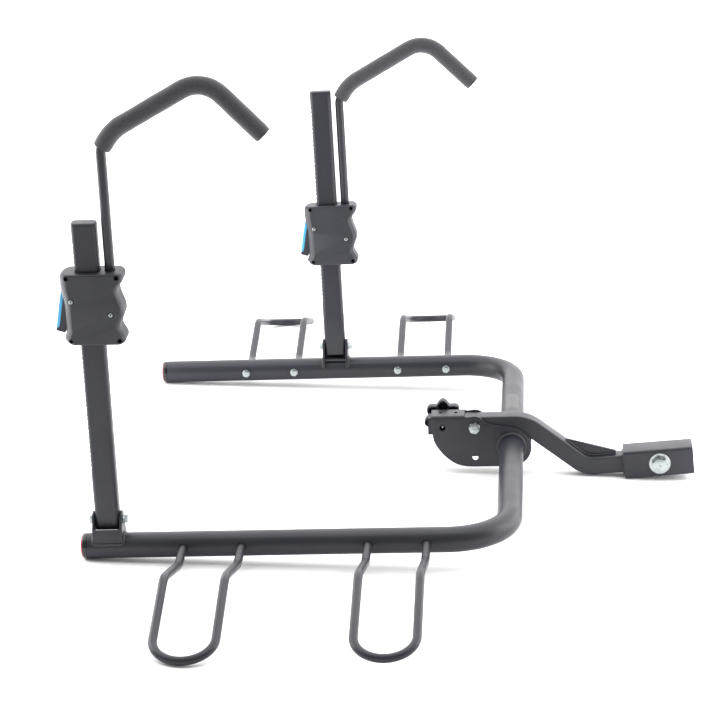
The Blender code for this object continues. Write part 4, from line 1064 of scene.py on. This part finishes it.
def build_knob():
    matrix = RACK @ Matrix.Translation((PIVOT[0] - LOCK_R, 0, PIVOT[1]))
    bm = bmesh.new()
    count = KNOB_LOBES * 24
    turn = math.pi / 2

    def ring(y, inset):
        return [bm.verts.new((knob_radius(a, inset) * math.cos(a + turn), y,
                              knob_radius(a, inset) * math.sin(a + turn)))
                for a in [2 * math.pi * i / count for i in range(count)]]

    skin = [ring(y, inset) for y, inset in
            ((42.0, 3.6), (28.2, 3.0), (27.6, 2.6), (27.5, 2.0), (27.6, 0.9), (28.1, 0.3),
             (29.0, 0.0), (43.0, 0.0), (45.0, 0.5), (46.6, 1.6), (47.6, 3.2), (48.0, 5.5))]
    ring_strip(bm, skin)
    bm.faces.new(skin[0])
    bm.faces.new(skin[-1])
    hub = lathe(((5.3, 27.6), (11.4, 27.6), (12.0, 28.2), (12.6, 43.0), (5.3, 43.0)),
                (0, 0, 0), (0, 1, 0), 48, True)
    ribs = []
    for k in range(KNOB_LOBES):
        a = turn + math.pi * (2 * k + 1) / KNOB_LOBES
        rib = block(11.0, KNOB_R - 9.5, 29.5, 43.0, -0.9, 0.9, 0.3)
        bmesh.ops.rotate(rib, verts=rib.verts, cent=(0, 0, 0),
                         matrix=Matrix.Rotation(-a, 3, "Y"))
        ribs.append(rib)
    piece("star_knob", joined([bm, hub] + ribs), "plastic", "knob", matrix, 35,
          ("lock_knob",))
    stud = lathe(((1.4, -14.9), (1.8, -14.4), (2.0, -11.0), (4.4, -10.2), (5.0, -9.0),
                  (5.0, 41.0)), (0, 0, 0), (0, 1, 0), 40)
    piece("knob_stud", stud, "zinc", "knob", matrix, 35, ("lock_stud",))
    # Painted shade: a near-black collar around the stud's narrow end stands for the dark hole it
    # sits in.
    tip = lathe(((2.1, -14.0), (4.8, -13.2), (5.15, -12.0), (5.15, -8.0), (5.02, -8.0),
                 (5.02, -9.5), (2.1, -11.5)), (0, 0, 0), (0, 1, 0), 40, True)
    piece("knob_hole_painted_shade", tip, "dark", "knob", matrix)
    washer = lathe(((5.4, 20.9), (11.7, 20.9), (12.0, 21.2), (12.0, 22.8), (11.7, 23.1),
                    (5.4, 23.1)), (0, 0, 0), (0, 1, 0), 48, True)
    piece("knob_washer", washer, "zinc", "knob", matrix, 35, ("lock_washer",))


def build_label():
    """Blank sticker wrapped over the top of the crossbar."""
    bm = bmesh.new()
    r = TUBE_R + 0.12
    grid = []
    for j in range(9):
        y = 133.0 + 79.0 * j / 8
        grid.append([bm.verts.new((-r * math.sin(a), y, r * math.cos(a)))
                     for a in [math.radians(-34 + 68 * k / 16) for k in range(17)]])
    for a, b in zip(grid, grid[1:]):
        for i in range(len(a) - 1):
            bm.faces.new((a[i], a[i + 1], b[i + 1], b[i]))
    piece("blank_sticker", bm, "label", "frame")


# ---------------------------------------------------------------- build everything

build_frame_tube()
for tag in ("front", "rear"):
    build_arm_end(tag)
    build_bracket(tag)
    build_mast(tag)
    build_shells(tag)
    build_trigger(tag)
    build_hook(tag)
    for centre, spot in zip(LOOP_X, ("outer", "inner")):
        build_wheel_loop(tag, spot, centre)
    for node in ("_pawl", "_trigger_spring"):
        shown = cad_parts[tag + node]
        shown.data.materials.clear()
        shown.data.materials.append(MATERIALS["steel"])
build_channel()
build_shank()
build_sleeve()
build_knob()
build_label()


# ---------------------------------------------------------------- studio

def build_studio():
    bpy.ops.mesh.primitive_plane_add(size=60.0, location=(0, 0, 0))
    floor = bpy.context.object
    floor.name = "studio_floor"
    floor.data.materials.append(MATERIALS["floor"])

    world = bpy.data.worlds.new("studio")
    bpy.context.scene.world = world
    world.use_nodes = True
    world.node_tree.nodes["Background"].inputs["Color"].default_value = (1.0, 1.0, 1.0, 1.0)
    world.node_tree.nodes["Background"].inputs["Strength"].default_value = 0.42

    def softbox(name, location, target, size, energy):
        data = bpy.data.lights.new(name, "AREA")
        data.shape = "RECTANGLE"
        data.size, data.size_y = size
        data.energy = energy
        light = bpy.data.objects.new(name, data)
        bpy.context.scene.collection.objects.link(light)
        light.location = location
        aim = Vector(target) - Vector(location)
        light.rotation_euler = aim.to_track_quat("-Z", "Y").to_euler()

    softbox("overhead_softbox", (0.0, 3.2, 5.2), (0.0, 3.2, 0.0), (12.0, 11.0), 1050.0)
    softbox("back_softbox", (0.0, 8.0, 2.2), (0.0, 0.0, 0.6), (12.0, 4.2), 330.0)
    for side in (-1, 1):
        softbox(f"side_softbox_{side + 1}", (3.2 * side, 0.4, 1.5), (0.0, 0.2, 0.3),
                (0.8, 2.4), 26.0)
        softbox(f"low_strip_{side + 1}", (0.98 * side, 0.05, 0.36), (0.0, 0.05, 0.36),
                (1.5, 0.7), 11.0)

    data = bpy.data.cameras.new("camera")
    data.sensor_width = 36.0
    data.lens = 121.40
    data.clip_end = 100.0
    camera = bpy.data.objects.new("camera", data)
    bpy.context.scene.collection.objects.link(camera)
    right = Vector((0.99770, 0.06769, 0.00357))
    up = Vector((-0.02416, 0.30588, 0.95176))
    back = right.cross(up)
    rotation = Matrix((right, up, back)).transposed()
    camera.matrix_world = (Matrix.Translation((0.19833, -4.09964, 1.52769))
                           @ rotation.to_4x4())
    bpy.context.scene.camera = camera
    bpy.context.scene.view_settings.view_transform = "Standard"


build_studio()

bpy.context.view_layer.update()
